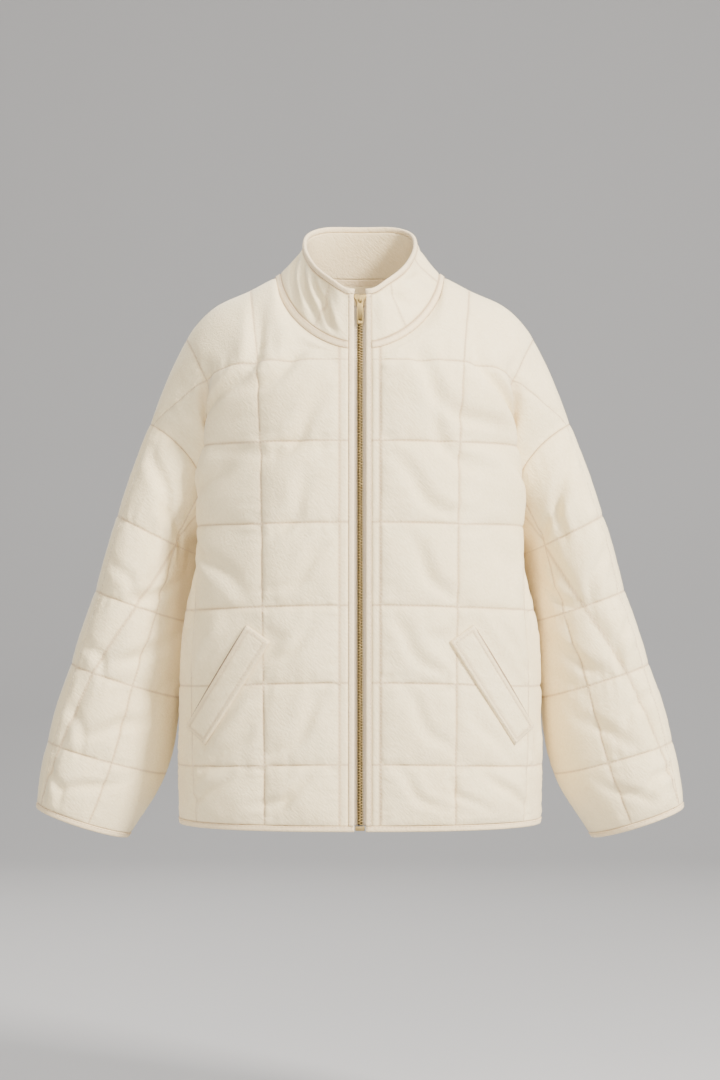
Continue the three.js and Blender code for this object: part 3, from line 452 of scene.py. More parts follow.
def crease(u, v, row):
    """Soft trough or ridge of the cloth between two places of a panel, in quilt cells, deepest midway.

    One side falls away faster than the other, as cloth does where it folds over.
    """
    u0, v0, u1, v1, width, depth = row
    along = vec(u1 - u0, v1 - v0)
    share = np.clip(((u - u0) * along[0] + (v - v0) * along[1]) / (along @ along), 0, 1)
    bend = BOW * np.sin(np.pi * share) + WANDER * np.sin(7 * share + 3 * u0)
    across, up = u - u0 - share * along[0] - bend * along[1], v - v0 - share * along[1] + bend * along[0]
    away = np.hypot(across, up) * np.sign(across * along[1] - up * along[0]) * CELL_SIZE / width
    trough = np.exp(-np.where(away < 0, SOFT_SIDE * away, STEEP_SIDE * away) ** 2)
    ridge = RIDGE * np.exp(-((away + RIDGE_AWAY) / RIDGE_WIDTH) ** 2)
    return -DRAPE * depth * (trough - ridge) * np.sqrt(np.sin(np.pi * (0.03 + 0.94 * share)))


def puckers(u, v, seed, height=0.8):
    """Short ripples that cross the stitch lines, and fade into the cells."""
    rng = np.random.default_rng(seed)
    total = np.zeros(np.broadcast(u, v).shape)
    for first, second in ((u, v), (v, u)):
        from_line = np.abs(first - np.round(first)) * CELL_SIZE
        waves = np.zeros(total.shape)
        for _ in range(RIPPLES):
            pitch, lean, phase = rng.uniform(*PUCKER_PITCH), rng.uniform(-1.5, 1.5), rng.uniform(0, 2 * np.pi)
            drift = 2 * np.sin(1.7 * first + phase)
            waves = waves + np.sin(2 * np.pi * (pitch * second + lean * first) + phase + drift)
        total += waves / 2.2 * np.exp(-from_line / PUCKER_REACH) * smooth(from_line, 0, 3)
    return height * total


def soft_dents(u, v, seed, height=1.3):
    """Broad uneven swells of the padding."""
    rng = np.random.default_rng(seed)
    total = np.zeros(np.broadcast(u, v).shape)
    for _ in range(SWELLS):
        fu, fv, phase = rng.uniform(-1.6, 1.6), rng.uniform(-1.6, 1.6), rng.uniform(0, 2 * np.pi)
        total += np.sin(2 * np.pi * (fu * u + fv * v) + phase)
    return height * total / 4


# Creases as start u, v, end u, v, half width in millimetres and depth, negative for a ridge
FRONT_CREASES = {
    1: [(1.25, 6.15, 2.3, 5.15, 9, 3.4), (2.15, 6.3, 2.85, 5.3, 10, 4.4), (1.5, 5.55, 2.2, 4.55, 8, 2.6),
        (2.3, 5.2, 2.9, 4.1, 9, 3.6), (1.15, 4.75, 1.95, 4.05, 8, 2.8), (2.25, 3.95, 2.75, 3.1, 8, 3.0),
        (1.35, 3.75, 1.95, 3.05, 8, 2.8), (2.45, 2.95, 2.95, 2.2, 7, 2.6), (1.1, 2.85, 1.75, 2.1, 8, 2.8),
        (2.15, 1.75, 2.75, 1.05, 8, 3.0), (1.3, 1.85, 1.9, 1.2, 7, 2.4), (3.05, 3.9, 3.35, 2.9, 8, 2.6),
        (2.3, 0.95, 3.0, 0.3, 7, 3.0), (1.2, 0.9, 1.75, 0.25, 7, 2.6), (3.15, 1.8, 3.6, 0.9, 9, 2.2),
        (1.6, 2.55, 2.4, 2.2, 7, 1.8), (1.9, 0.75, 2.4, 0.2, 6, 1.8), (2.96, 4.1, 2.94, 6.1, 12, 5.0)],
    -1: [(1.2, 6.35, 2.2, 5.6, 9, 3.6), (1.85, 6.55, 2.75, 5.3, 10, 4.0), (1.15, 5.5, 1.95, 4.7, 8, 3.2),
         (2.2, 4.95, 2.85, 4.05, 9, 3.4), (1.3, 4.55, 1.9, 3.75, 8, 2.6), (2.9, 3.95, 2.2, 3.2, 8, 3.2),
         (1.15, 3.7, 1.8, 3.15, 7, 2.6), (2.35, 2.9, 2.9, 2.1, 8, 2.6), (1.25, 2.75, 1.95, 2.25, 7, 2.4),
         (1.15, 1.9, 1.85, 1.1, 8, 2.8), (2.1, 1.55, 2.8, 0.95, 8, 2.8), (3.1, 3.7, 3.4, 2.6, 8, 2.6),
         (1.3, 0.8, 2.1, 0.3, 7, 2.6), (2.4, 0.85, 3.1, 0.35, 7, 2.8), (3.1, 1.7, 3.6, 1.1, 9, 2.0),
         (1.5, 5.05, 2.3, 4.85, 7, 1.8), (1.6, 0.55, 1.9, 0.15, 6, 1.8), (2.96, 4.1, 2.94, 6.1, 12, 5.0)],
}
BACK_CREASES = [
    (-2.6, 5.2, -1.4, 4.3, 11, 3.4), (2.6, 5.1, 1.2, 4.4, 11, 3.6), (-2.7, 4.2, -1.6, 3.3, 10, 3.0),
    (2.7, 4.1, 1.6, 3.3, 10, 2.8), (-0.7, 6.35, 0.6, 6.1, 10, 2.2), (-1.8, 2.6, -0.8, 2.0, 9, 2.4),
    (1.8, 2.5, 0.7, 2.1, 9, 2.6), (-2.1, 1.4, -1.2, 0.8, 9, 2.4), (2.2, 1.3, 1.2, 0.8, 9, 2.2),
    (-0.9, 5.6, -0.2, 4.9, 9, 2.2), (0.8, 3.6, 0.2, 2.9, 9, 2.0), (-0.6, 0.8, 0.1, 0.3, 8, 2.0)]
SLEEVE_CREASES = {
    1: [(1.25, 0.25, 1.75, 0.95, 7, 3.6), (1.55, 0.55, 2.25, 1.2, 7, 3.6), (2.6, 1.15, 1.75, 1.95, 7, 3.6),
        (1.2, 1.35, 1.6, 2.0, 7, 2.4), (2.5, 2.1, 1.7, 2.9, 8, 3.4), (1.15, 2.35, 1.55, 2.95, 7, 2.2),
        (2.3, 3.15, 1.6, 3.85, 7, 2.8), (1.1, 3.3, 1.7, 3.6, 7, 2.2), (2.2, 4.2, 1.55, 4.75, 7, 2.6),
        (1.05, 4.35, 1.6, 4.5, 7, 2.6), (2.6, 2.6, 2.1, 2.95, 6, 2.4), (3.6, 1.3, 4.5, 1.9, 8, 2.8),
        (3.5, 2.6, 4.7, 2.3, 8, 2.6), (3.7, 3.6, 4.6, 3.9, 8, 2.4), (5.2, 0.4, 4.4, 1.0, 9, 2.8)],
    -1: [(1.2, 0.2, 1.8, 0.85, 7, 3.4), (1.6, 0.6, 2.3, 1.1, 7, 3.4), (2.55, 1.3, 1.6, 1.9, 7, 3.4),
         (2.55, 2.15, 1.65, 2.75, 8, 3.4), (1.15, 1.5, 1.65, 1.85, 7, 2.2), (2.4, 3.2, 1.5, 3.75, 7, 3.0),
         (1.1, 2.6, 1.6, 2.95, 7, 2.4), (1.15, 3.4, 1.6, 3.9, 7, 2.0), (2.25, 4.15, 1.4, 4.6, 7, 2.6),
         (1.1, 4.3, 1.5, 4.8, 7, 2.2), (2.7, 2.75, 2.2, 2.95, 6, 2.4), (3.6, 1.3, 4.6, 1.8, 8, 2.8),
         (3.6, 2.4, 4.8, 2.8, 8, 2.6), (3.8, 3.4, 4.7, 3.7, 8, 2.4), (5.3, 0.5, 4.5, 1.1, 9, 2.8)],
}


ARMPIT_REACH = (25, 95)
WELT_REACH = (2, 20)


def near_armpit(points):
    """0 at the armpit, easing to 1 away from it."""
    return smooth(length(points - SIDE_SEAM[-1])[..., 0], *ARMPIT_REACH)


def on_welt(points):
    """1 under the pocket welt, easing to 0 beside it."""
    corner = WELT["top_outer"]
    outside = 0
    for axis in (WELT["top_inner"] - corner, WELT["low_outer"] - corner):
        share = (points[..., [0, 2]] - corner) @ axis / (axis @ axis)
        outside = np.maximum(outside, np.maximum(0, np.maximum(-share, share - 1)) * np.hypot(*axis))
    return 1 - smooth(outside, *WELT_REACH)


# Meshes
def new_piece(name, points, faces, material, shade_mix=None, body=JACKET):
    mesh = bpy.data.meshes.new(name)
    mesh.from_pydata((np.asarray(points) * MM).tolist(), [], [tuple(face) for face in faces])
    mesh.validate()
    mesh.shade_smooth()
    # share of the painted shade colour at each point, mixed into the cloth's colour
    if shade_mix is not None:
        layer = mesh.attributes.new("shade_mix", "FLOAT", "POINT")
        layer.data.foreach_set("value", np.asarray(shade_mix, dtype=np.float32))
    mesh.materials.append(material)
    piece = bpy.data.objects.new(f"{name}.sewn", mesh)
    bpy.context.scene.collection.objects.link(piece)
    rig.ride(piece, body)
    return piece


def grid_faces(columns, rows, closed, offset=0, flip=False):
    faces = []
    for i in range(columns if closed else columns - 1):
        a, b = offset + i * rows, offset + ((i + 1) % columns) * rows
        for j in range(rows - 1):
            quad = (a + j, b + j, b + j + 1, a + j + 1)
            faces.append(quad[::-1] if flip else quad)
    return faces


def rim_faces(columns, rows, closed, flip):
    """Faces that join the outer and inner grids along their open edges."""
    inner = columns * rows
    ring = [i * rows for i in range(columns)]
    top = [i * rows + rows - 1 for i in range(columns)]
    pairs = []
    for line, forward in ((ring, True), (top, False)):
        ends = zip(line, line[1:] + line[:1]) if closed else zip(line, line[1:])
        pairs += [(a, b) if forward else (b, a) for a, b in ends]
    if not closed:
        start, end = list(range(rows)), list(range((columns - 1) * rows, columns * rows))
        pairs += [(b, a) for a, b in zip(start, start[1:])] + [(a, b) for a, b in zip(end, end[1:])]
    faces = [(b, a, a + inner, b + inner) for a, b in pairs]
    return [face[::-1] for face in faces] if flip else faces


def shell_faces(columns, rows, closed, flip):
    """Faces of an outer grid, of the inner grid that follows it, and of the edges between them."""
    faces = grid_faces(columns, rows, closed, flip=flip)
    faces += grid_faces(columns, rows, closed, columns * rows, not flip)
    return faces + rim_faces(columns, rows, closed, flip)


def dress(piece, slot, node=None):
    """Gives the piece its material slot and the construction node whose place it takes."""
    if node:
        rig.replaces(piece, node)
    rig.slot(piece, slot)
    return piece


INSIDE_SHADE = 0.25  # share of the painted shade colour on the plain inside, an even painted shade inside the jacket


def cloth_shell(name, base, facing, lift, material, shade_mix, slot="quilted_cloth", closed=False, mirror=False):
    """Quilted outer cloth over a plain inside. Gives the piece, and its outer points and normals."""
    normal = normals_of(base, facing, closed)
    outer = base + normal * lift[..., None]
    inner = base + normal * (np.minimum(lift, 0) - WALL)[..., None]
    columns, rows = base.shape[:2]
    points = np.concatenate([outer.reshape(-1, 3), inner.reshape(-1, 3)])
    faces = shell_faces(columns, rows, closed, (facing < 0) != mirror)
    turned = normals_of(outer, facing, closed)
    if mirror:
        points, outer, turned = points * MIRROR, outer * MIRROR, turned * MIRROR
    # painted shade: along the stitch lines outside, and evenly over the inside
    shade_shares = np.concatenate([shade_mix.ravel(), np.full(columns * rows, INSIDE_SHADE)])
    piece = dress(new_piece(name, points, faces, material, shade_shares), slot, name)
    return piece, outer, turned


def on_grid(values, us, vs, u, v):
    """Values of a grid at places between its steps."""
    fu = np.interp(u, us, np.arange(len(us)))
    fv = np.interp(v, vs, np.arange(len(vs)))
    i, j = np.minimum(fu.astype(int), len(us) - 2), np.minimum(fv.astype(int), len(vs) - 2)
    fu, fv = (fu - i)[:, None], (fv - j)[:, None]
    low = lerp(values[i, j], values[i + 1, j], fu)
    return lerp(low, lerp(values[i, j + 1], values[i + 1, j + 1], fu), fv)


def distances(points):
    """How far along a line of points each of them is."""
    return np.concatenate([[0], np.cumsum(length(np.diff(points, axis=0))[:, 0])])


def at_distance(values, along, distance):
    return np.stack([np.interp(distance, along, values[:, axis]) for axis in range(3)], axis=-1)


# Stitches
STITCH = 3.1
STITCH_PITCH = 4.3
THREAD = 0.36
THREAD_END = 0.45  # thickness at a stitch's ends, as a share of its middle
CORNERS = 4


def stitches(points, normal, raise_by=0.25):
    """Thread dashes along a line of points, as corners and faces."""
    along = distances(points)
    count = int(along[-1] / STITCH_PITCH)
    if count < 2:
        return np.zeros((0, 3)), []
    middle = (np.arange(count) + 0.5) * along[-1] / count
    up = unit(at_distance(normal, along, middle))
    stations = [at_distance(points, along, middle + share * STITCH) for share in (-0.5, 0, 0.5)]
    side = unit(np.cross(up, stations[2] - stations[0]))
    corners = []
    for place, thin in zip(stations, (THREAD_END, 1, THREAD_END)):
        for across, high in ((-1, 0), (0, 1), (1, 0), (0, -1)):
            lifted = raise_by * thin + THREAD * thin * high
            corners.append(place + side * THREAD * thin * across + up * lifted)
    corners = np.stack(corners, axis=1)
    faces = []
    for k in range(count):
        first = 3 * CORNERS * k
        for ring in (first, first + CORNERS):
            for c in range(CORNERS):
                a, b = ring + c, ring + (c + 1) % CORNERS
                faces.append((a, b, b + CORNERS, a + CORNERS))
        faces += [(first + 3, first + 2, first + 1, first), (first + 8, first + 9, first + 10, first + 11)]
    return corners.reshape(-1, 3), faces


def stitch_piece(name, lines):
    """One mesh of the stitches on several lines, each given as points and normals."""
    corners, faces, offset = [], [], 0
    for points, normal in lines:
        found, quads = stitches(points, normal)
        corners.append(found)
        faces += [tuple(index + offset for index in quad) for quad in quads]
        offset += len(found)
    return dress(new_piece(name, np.concatenate(corners), faces, THREAD_CREAM), "quilted_cloth")


class Panel:
    """Outer surface of a quilted piece, for what is sewn on it."""

    def __init__(self, us, vs, outer, normal):
        self.us, self.vs, self.outer, self.normal = us, vs, outer, normal

    def line(self, u, v, out=0.0):
        u, v = np.broadcast_arrays(np.atleast_1d(np.asarray(u, float)), np.atleast_1d(np.asarray(v, float)))
        points = on_grid(self.outer, self.us, self.vs, u, v)
        normal = unit(on_grid(self.normal, self.us, self.vs, u, v))
        return points + normal * out, normal


# Finishes
class Socket:
    """A shader socket that takes part in sums, differences and products."""

    def __init__(self, finish, socket):
        self.finish, self.socket = finish, socket

    def maths(self, operation, first, second):
        return self.finish.node("ShaderNodeMath", {"operation": operation}, {0: first, 1: second})

    def __add__(self, other):
        return self.maths("ADD", self, other)

    def __sub__(self, other):
        return self.maths("SUBTRACT", self, other)

    def __rsub__(self, other):
        return self.maths("SUBTRACT", other, self)

    def __mul__(self, other):
        return self.maths("MULTIPLY", self, other)

    __radd__ = __add__
    __rmul__ = __mul__


class Finish:
    """A material built from nodes."""

    def __init__(self, name, **shader):
        self.material = bpy.data.materials.new(name)
        self.material.use_nodes = True
        self.tree = self.material.node_tree
        self.surface = next(n for n in self.tree.nodes if n.type == "BSDF_PRINCIPLED")
        for key, value in shader.items():
            self.surface.inputs[key.replace("_", " ").title().replace("Ior", "IOR")].default_value = value

    def node(self, kind, settings=None, values=None, output=0):
        made = self.tree.nodes.new(kind)
        for key, value in (settings or {}).items():
            setattr(made, key, value)
        for key, value in (values or {}).items():
            if isinstance(value, Socket):
                self.tree.links.new(value.socket, made.inputs[key])
            else:
                made.inputs[key].default_value = value
        return Socket(self, made.outputs[output])

    def mix(self, first, second, factor):
        settings = {"data_type": "RGBA"}
        return self.node("ShaderNodeMix", settings, {0: factor, 6: first, 7: second}, output=2)

    def feed(self, name, value):
        self.tree.links.new(value.socket, self.surface.inputs[name])

    def place(self):
        return self.node("ShaderNodeTexCoord", output=3)

    def noise(self, scale, detail=2.0, rough=0.5, stretch=(1, 1, 1), turn=(0, 0, 0)):
        where = self.node("ShaderNodeMapping", {"vector_type": "TEXTURE"},
                          {"Vector": self.place(), "Scale": stretch, "Rotation": turn})
        return self.node("ShaderNodeTexNoise", {},
                         {"Vector": where, "Scale": scale, "Detail": detail, "Roughness": rough})

    def bump(self, height, distance, strength=1.0):
        values = {"Height": height, "Distance": distance, "Strength": strength}
        self.feed("Normal", self.node("ShaderNodeBump", {}, values))


def brushed_cloth(name, light, dark, painted_shade_colour):
    """Brushed cotton with a short nap over a faint diagonal twill, with painted shade mixed in from a mesh attribute,
    in the stitched grooves and hollows.
    """
    cloth = Finish(name, roughness=0.93, sheen_weight=0.3, sheen_roughness=0.4, specular_ior_level=0.15)
    patches = cloth.noise(14.0, 4.0, 0.6)
    nap = cloth.noise(330.0, 5.0, 0.7)
    twill = cloth.noise(560.0, 2.0, 0.5, stretch=(4.5, 1, 1), turn=(0, math.radians(45), 0))
    tone = cloth.mix((*light, 1), (*dark, 1), patches * 0.8 + nap * 1.2 + twill * 1.1 - 1.05)
    # painted shade: the mesh attribute gives the share of the dark shade colour mixed into the cloth
    painted_shade = cloth.node("ShaderNodeAttribute", {"attribute_name": "shade_mix"}, output=2)
    cloth.feed("Base Color", cloth.mix(tone, (*painted_shade_colour, 1), painted_shade))
    cloth.feed("Roughness", 0.86 + nap * 0.12)
    cloth.bump(nap * 0.7 + twill * 0.6, 0.0012, 0.9)
    return cloth.material


def thread_finish(name, light, dark):
    thread = Finish(name, roughness=0.7, sheen_weight=0.2)
    tone = thread.mix((*light, 1), (*dark, 1), thread.noise(700.0, 2.0))
    thread.feed("Base Color", tone)
    thread.bump(thread.noise(2500.0, 1.0, stretch=(1, 1, 3.3)), 0.0002, 0.5)
    return thread.material


def woven_tape(name, light, dark):
    tape = Finish(name, roughness=0.85, sheen_weight=0.15)
    ribs = tape.node("ShaderNodeTexWave", {"bands_direction": "X"}, {"Vector": tape.place(), "Scale": 260.0})
    rungs = tape.node("ShaderNodeTexWave", {"bands_direction": "Z"}, {"Vector": tape.place(), "Scale": 200.0})
    weave = ribs * 0.5 + rungs * 0.5
    tape.feed("Base Color", tape.mix((*dark, 1), (*light, 1), weave * 0.5 + tape.noise(60.0) * 0.5))
    tape.bump(weave, 0.0003, 0.6)
    return tape.material


def antique_brass(name, light, dark):
    """Dulled brass, darker and rougher in patches, bright where it rubs."""
    brass = Finish(name, metallic=1.0)
    tarnish = brass.noise(160.0, 5.0, 0.6)
    scratches = brass.noise(900.0, 2.0, 0.5, stretch=(1, 1, 6.5))
    brass.feed("Base Color", brass.mix((*light, 1), (*dark, 1), tarnish * 1.2 - 0.2))
    brass.feed("Roughness", 0.34 + tarnish * 0.2 + scratches * 0.08)
    brass.bump(scratches, 0.00008, 0.4)
    return brass.material


def backdrop_finish(name, colour):
    paper = Finish(name, roughness=0.8)
    shade = tuple(0.97 * value for value in colour)
    paper.feed("Base Color", paper.mix((*colour, 1), (*shade, 1), paper.noise(3.0)))
    return paper.material


# the last colour of each cloth is its painted shade colour, for grooves, hollows and the inside
CREAM = brushed_cloth("cream_brushed_cotton", (0.95, 0.82, 0.54), (0.84, 0.69, 0.41), (0.46, 0.29, 0.15))
EDGING = brushed_cloth("cream_edging", (0.91, 0.76, 0.50), (0.80, 0.63, 0.38), (0.44, 0.28, 0.15))
THREAD_CREAM = thread_finish("cream_thread", (0.80, 0.68, 0.50), (0.64, 0.50, 0.34))
TAPE_CLOTH = woven_tape("cream_zip_tape", (0.72, 0.62, 0.47), (0.58, 0.47, 0.33))
# dark brown standing in for the shadow inside the pocket mouth
POCKET_SHADE = backdrop_finish("pocket_painted_shadow", (0.22, 0.14, 0.08))
# near-black copy of the brass, painted as the shadow between the zip teeth
BRASS_SHADOW = antique_brass("brass_painted_shadow", (0.10, 0.075, 0.04), (0.05, 0.038, 0.02))
BRASS = antique_brass("antique_brass", (0.50, 0.365, 0.155), (0.23, 0.16, 0.065))
PAPER = backdrop_finish("pale_backdrop", (0.42, 0.42, 0.43))

# painted shade along the stitch lines: its width, strength and fall-off
GROOVE_WIDTH = 1.0
GROOVE_SHADE = 0.68
GROOVE_FALL = 1.3


def groove_shade(*distances):
    """How close a point is to a stitch line, for the painted shade in the grooves."""
    nearest = np.minimum.reduce([np.abs(d) for d in np.broadcast_arrays(*distances)])
    return GROOVE_SHADE * np.exp(-(nearest / GROOVE_WIDTH) ** GROOVE_FALL)


def from_lines(value):
    return np.abs(value - np.round(value)) * CELL_SIZE


# Quilted pieces
front_s = np.concatenate([[0, 0.33, 0.66], fine_steps(1, FRONT_END)])
panel_t = fine_steps(0, TOP)
back_s = fine_steps(0, BACK_END)
FRONT_BASE = FRONT_HALF.grid(front_s, panel_t)
BACK_BASE = BACK_HALF.grid(back_s, panel_t)


EDGE_STRIP_PUFF = 0.12
TOP_CELL_PUFF = (0.2, 0.5)  # beside the zip and from the first quilt line on
SIDE_CELL_PUFF = 0.3
FRONT_SEEDS, SLEEVE_SEEDS = {1: 11, -1: 23}, {1: 51, -1: 67}
BACK_SEED, COLLAR_SEED = 37, 91
BACK_EDGE_PUFF = 0.5
SEAM_EASE, TOP_EASE, SIDE_EASE = 0.12, 0.6, 0.1  # how far creases fade out before a seam, in cells
ARMPIT_CREASES = 0.4  # share of the creases left at the armpit
# painted shade in the hollow of the fold from chest to armpit: its width in millimetres and its strength
FOLD_WIDTH, FOLD_SHADE = 16, 0.4


def within(value, low, high, enter, leave):
    """1 between two places, easing to 0 at them over the distances enter and leave."""
    return smooth(value, low, low + enter) * (1 - smooth(value, high - leave, high))


def front_panel(name, side):
    s, t = front_s[:, None], panel_t[None, :]
    strip = np.where(s < 1, EDGE_STRIP_PUFF, 1.0)
    top_cell = np.where(t > TOP - 1, lerp(*TOP_CELL_PUFF, smooth(s, 1, 2)), 1.0)
    side_cell = np.where(s > 3, SIDE_CELL_PUFF, 1.0)
    calm = near_armpit(FRONT_BASE)
    seed = FRONT_SEEDS[side]
    inside = within(s, 0, FRONT_END, 0.9, SIDE_EASE) * within(t, 0, TOP, SEAM_EASE, TOP_EASE)
    cells = pillow(s) * pillow(t)
    relief = PUFF * strip * top_cell * side_cell * calm * cells
    uneven = soft_dents(s, t, seed) * cells + puckers(s, t, seed + 1)
    uneven = uneven + sum(crease(s, t, row) for row in FRONT_CREASES[side])
    lift = relief + uneven * inside * lerp(ARMPIT_CREASES, 1, calm) * strip
    lift = lift * (1 - on_welt(FRONT_BASE))
    # painted shade along the quilt lines and the zip stitching
    shade_mix = groove_shade(np.where(s < 1, (s - 1) * EDGE_STRIP, from_lines(s)), from_lines(t))
    # painted shade in the hollow of the armhole fold
    fold = np.exp(-(from_lines(s) / FOLD_WIDTH) ** 2) * (s > 2.5) * (s < 3.5) * within(t, 4, 6.2, 0.5, 0.6)
    shade_mix = np.maximum(shade_mix, FOLD_SHADE * fold)
    piece, outer, normal = cloth_shell(name, FRONT_BASE, 1, lift, CREAM, shade_mix, mirror=side < 0)
    return piece, Panel(front_s, panel_t, outer, normal)


def back_panel():
    s = np.concatenate([-back_s[:0:-1], back_s])
    base = np.concatenate([BACK_BASE[:0:-1] * MIRROR, BACK_BASE])
    u, t = s[:, None], panel_t[None, :]
    calm = near_armpit(base * np.where(u[..., None] < 0, MIRROR, 1.0))
    inside = within(t, 0, TOP, SEAM_EASE, TOP_EASE) * (1 - smooth(np.abs(u), BACK_END - SIDE_EASE, BACK_END))
    top_cell = np.where(t > TOP - 1, BACK_EDGE_PUFF, 1.0)
    cells = pillow(u) * pillow(t)
    relief = PUFF * np.where(np.abs(u) > 2, BACK_EDGE_PUFF, 1.0) * top_cell * calm * cells
    uneven = soft_dents(u, t, BACK_SEED) * cells + puckers(u, t, BACK_SEED + 1)
    uneven = uneven + sum(crease(u, t, row) for row in BACK_CREASES)
    lift = relief + uneven * inside * lerp(ARMPIT_CREASES, 1, calm)
    # painted shade along the quilt lines
    shade_mix = groove_shade(from_lines(u), from_lines(t))
    piece, outer, normal = cloth_shell("back", base, -1, lift, CREAM, shade_mix)
    return piece, Panel(s, panel_t, outer, normal)


SLEEVE_FINE, SLEEVE_FINEST = 16, 40  # facets across a cell of the sleeve, and across its front cells
sleeve_u = np.concatenate([fine_steps(0, 1, SLEEVE_FINE)[:-1], fine_steps(1, 3, SLEEVE_FINEST)[:-1],
                           fine_steps(3, SLEEVE_CELLS, SLEEVE_FINE)[:-1]])
sleeve_t = fine_steps(0, CUFF)
SLEEVE_BASE = np.array([[sleeve_point(u, t) for t in sleeve_t] for u in sleeve_u])
SLANT_AT = np.array([curve_at([[value] for value in SLANT_LINE], t)[0] for t in sleeve_t])


SLANT_REACH, SLANT_PUFF = 0.22, 0.1  # flat cloth beside the slanted seam, in cells and share
# painted shade along the slanted stitch line: its width in millimetres and its strength
SLANT_WIDTH, SLANT_SHADE = 2.0, 0.55
# painted shade on the inner side of the upper sleeve, next to the body
UNDER_ARM_SHADE = 0.2
TOP_PUFF = 0.35  # share of the relief on the outer cells, and of what is left under the arm below
UNDER_FLAT = 0.7
SLEEVE_CREASING = 0.3
LEAN = 8.0  # how far the upper sleeve leans to the body behind


def sleeve(name, side):
    u, t = sleeve_u[:, None], sleeve_t[None, :]
    top_cell = (u < 1) | (u > 5)
    around = np.where(top_cell, pillow(((u + 1) % SLEEVE_CELLS) / 2), pillow(u))
    slant = np.abs(u - SLANT_AT[None, :])
    beside_slant = lerp(SLANT_PUFF, 1, smooth(slant, 0, SLANT_REACH) ** 0.6)
    under = 1 - smooth(np.abs(u - INNER_CELL), 0.5, 1.25)
    touching = (1 - UNDER_FLAT * under) * np.where(top_cell, TOP_PUFF, 1.0)
    behind = 1 - smooth(np.abs(u - 3.35), 0.3, 0.85)
    leaning = LEAN * behind * within(t, 0.35, 3.2, 0.6, 0.9)
    calm = near_armpit(SLEEVE_BASE)
    seed = SLEEVE_SEEDS[side]
    inside = within(t, 0, CUFF, SEAM_EASE, SEAM_EASE) * touching
    relief = PUFF * around * pillow(t) * beside_slant * touching * calm
    uneven = soft_dents(u, t, seed) * around * pillow(t) + puckers(u, t, seed + 1, 0.7)
    uneven = uneven + sum(crease(u, t, row) for row in SLEEVE_CREASES[side])
    lift = relief + uneven * inside * lerp(SLEEVE_CREASING, 1, calm) + leaning
    round_line = np.where(top_cell, np.minimum(np.abs(u - 1), np.abs(u - 5)), np.abs(u - np.round(u)))
    # painted shade along the quilt lines and the slanted stitch line
    shade_mix = groove_shade(round_line * CELL_SIZE, from_lines(t))
    shade_mix = np.maximum(shade_mix, SLANT_SHADE * np.exp(-(slant * CELL_SIZE / SLANT_WIDTH) ** 2))
    # painted shade under the arm, fading down the sleeve
    shade_mix = np.maximum(shade_mix, UNDER_ARM_SHADE * under * (1 - smooth(t, 1.2, 3.2)))
    piece, outer, normal = cloth_shell(name, SLEEVE_BASE, 1, lift, CREAM, shade_mix, closed=True,
                                       mirror=side < 0)
    wrapped = [np.concatenate([grid, grid[:1]]) for grid in (outer, normal)]
    return piece, Panel(np.append(sleeve_u, SLEEVE_CELLS), sleeve_t, *wrapped)


NECK_ANGLES = np.concatenate([np.linspace(NECK_START, QUARTER, 60), np.linspace(QUARTER, math.pi, 60)[1:]])
NECK_ANGLES = np.concatenate([NECK_ANGLES, (2 * math.pi - NECK_ANGLES)[-2::-1]])


def collar_grid(h_values):
    return np.array([[collar_point(a, h) for h in h_values] for a in NECK_ANGLES])


COLLAR_CREASES = [
    (4.95, 0.95, 5.7, 0.2, 6, 3.0), (5.3, 0.95, 5.95, 0.3, 5, 2.8), (4.7, 0.8, 5.3, 0.15, 6, 2.6),
    (5.65, 0.75, 6.0, 0.2, 5, 2.2), (0.9, 0.2, 0.5, 0.85, 6, 1.8), (1.35, 0.2, 1.0, 0.85, 6, 1.8),
    (1.75, 0.85, 2.3, 0.3, 6, 1.8), (4.0, 0.3, 4.4, 0.85, 6, 1.8), (2.9, 0.25, 3.3, 0.5, 6, 1.4)]
COLLAR_PUFF = 3.4
COLLAR_RADIUS = 75.0
COLLAR_HEIGHT = 60
DEGREE_LONG = 1.4  # millimetres round the collar for a degree
BAND_PUFF = 1.3


def collar():
    h_values = np.linspace(BAND_TOP, 1, 26)
    base = collar_grid(h_values)
    h = h_values[None, :]
    angle = NECK_ANGLES[:, None]
    degrees = np.degrees(angle)
    nearest = np.minimum.reduce([np.abs(degrees - line) for line in COLLAR_LINES])
    share = np.clip((h - BAND_TOP) / (1 - BAND_TOP), 1e-6, 1 - 1e-6)
    up = (4 * share * (1 - share)) ** PUFF_FULLNESS
    from_edge = np.minimum(degrees, 360 - degrees) - math.degrees(NECK_START)
    inside = smooth(from_edge, 0, 12)
    relief = COLLAR_PUFF * up * smooth(nearest, 0, 16) * inside
    size = COLLAR_RADIUS / CELL_SIZE
    uneven = sum(crease(angle * size, h * size, (a * size, b * size, c * size, d * size, wide, deep))
                 for a, b, c, d, wide, deep in COLLAR_CREASES)
    uneven = uneven + soft_dents(angle, h, COLLAR_SEED, 0.7)
    # painted shade along the collar's quilt lines, its lower seam and its rim
    shade_mix = groove_shade(nearest * DEGREE_LONG, (h - BAND_TOP) * COLLAR_HEIGHT, (1 - h) * COLLAR_HEIGHT)
    piece, outer, normal = cloth_shell("collar", base, 1, relief + uneven * inside * up, CREAM, shade_mix)
    return piece, Panel(NECK_ANGLES, h_values, outer, normal)


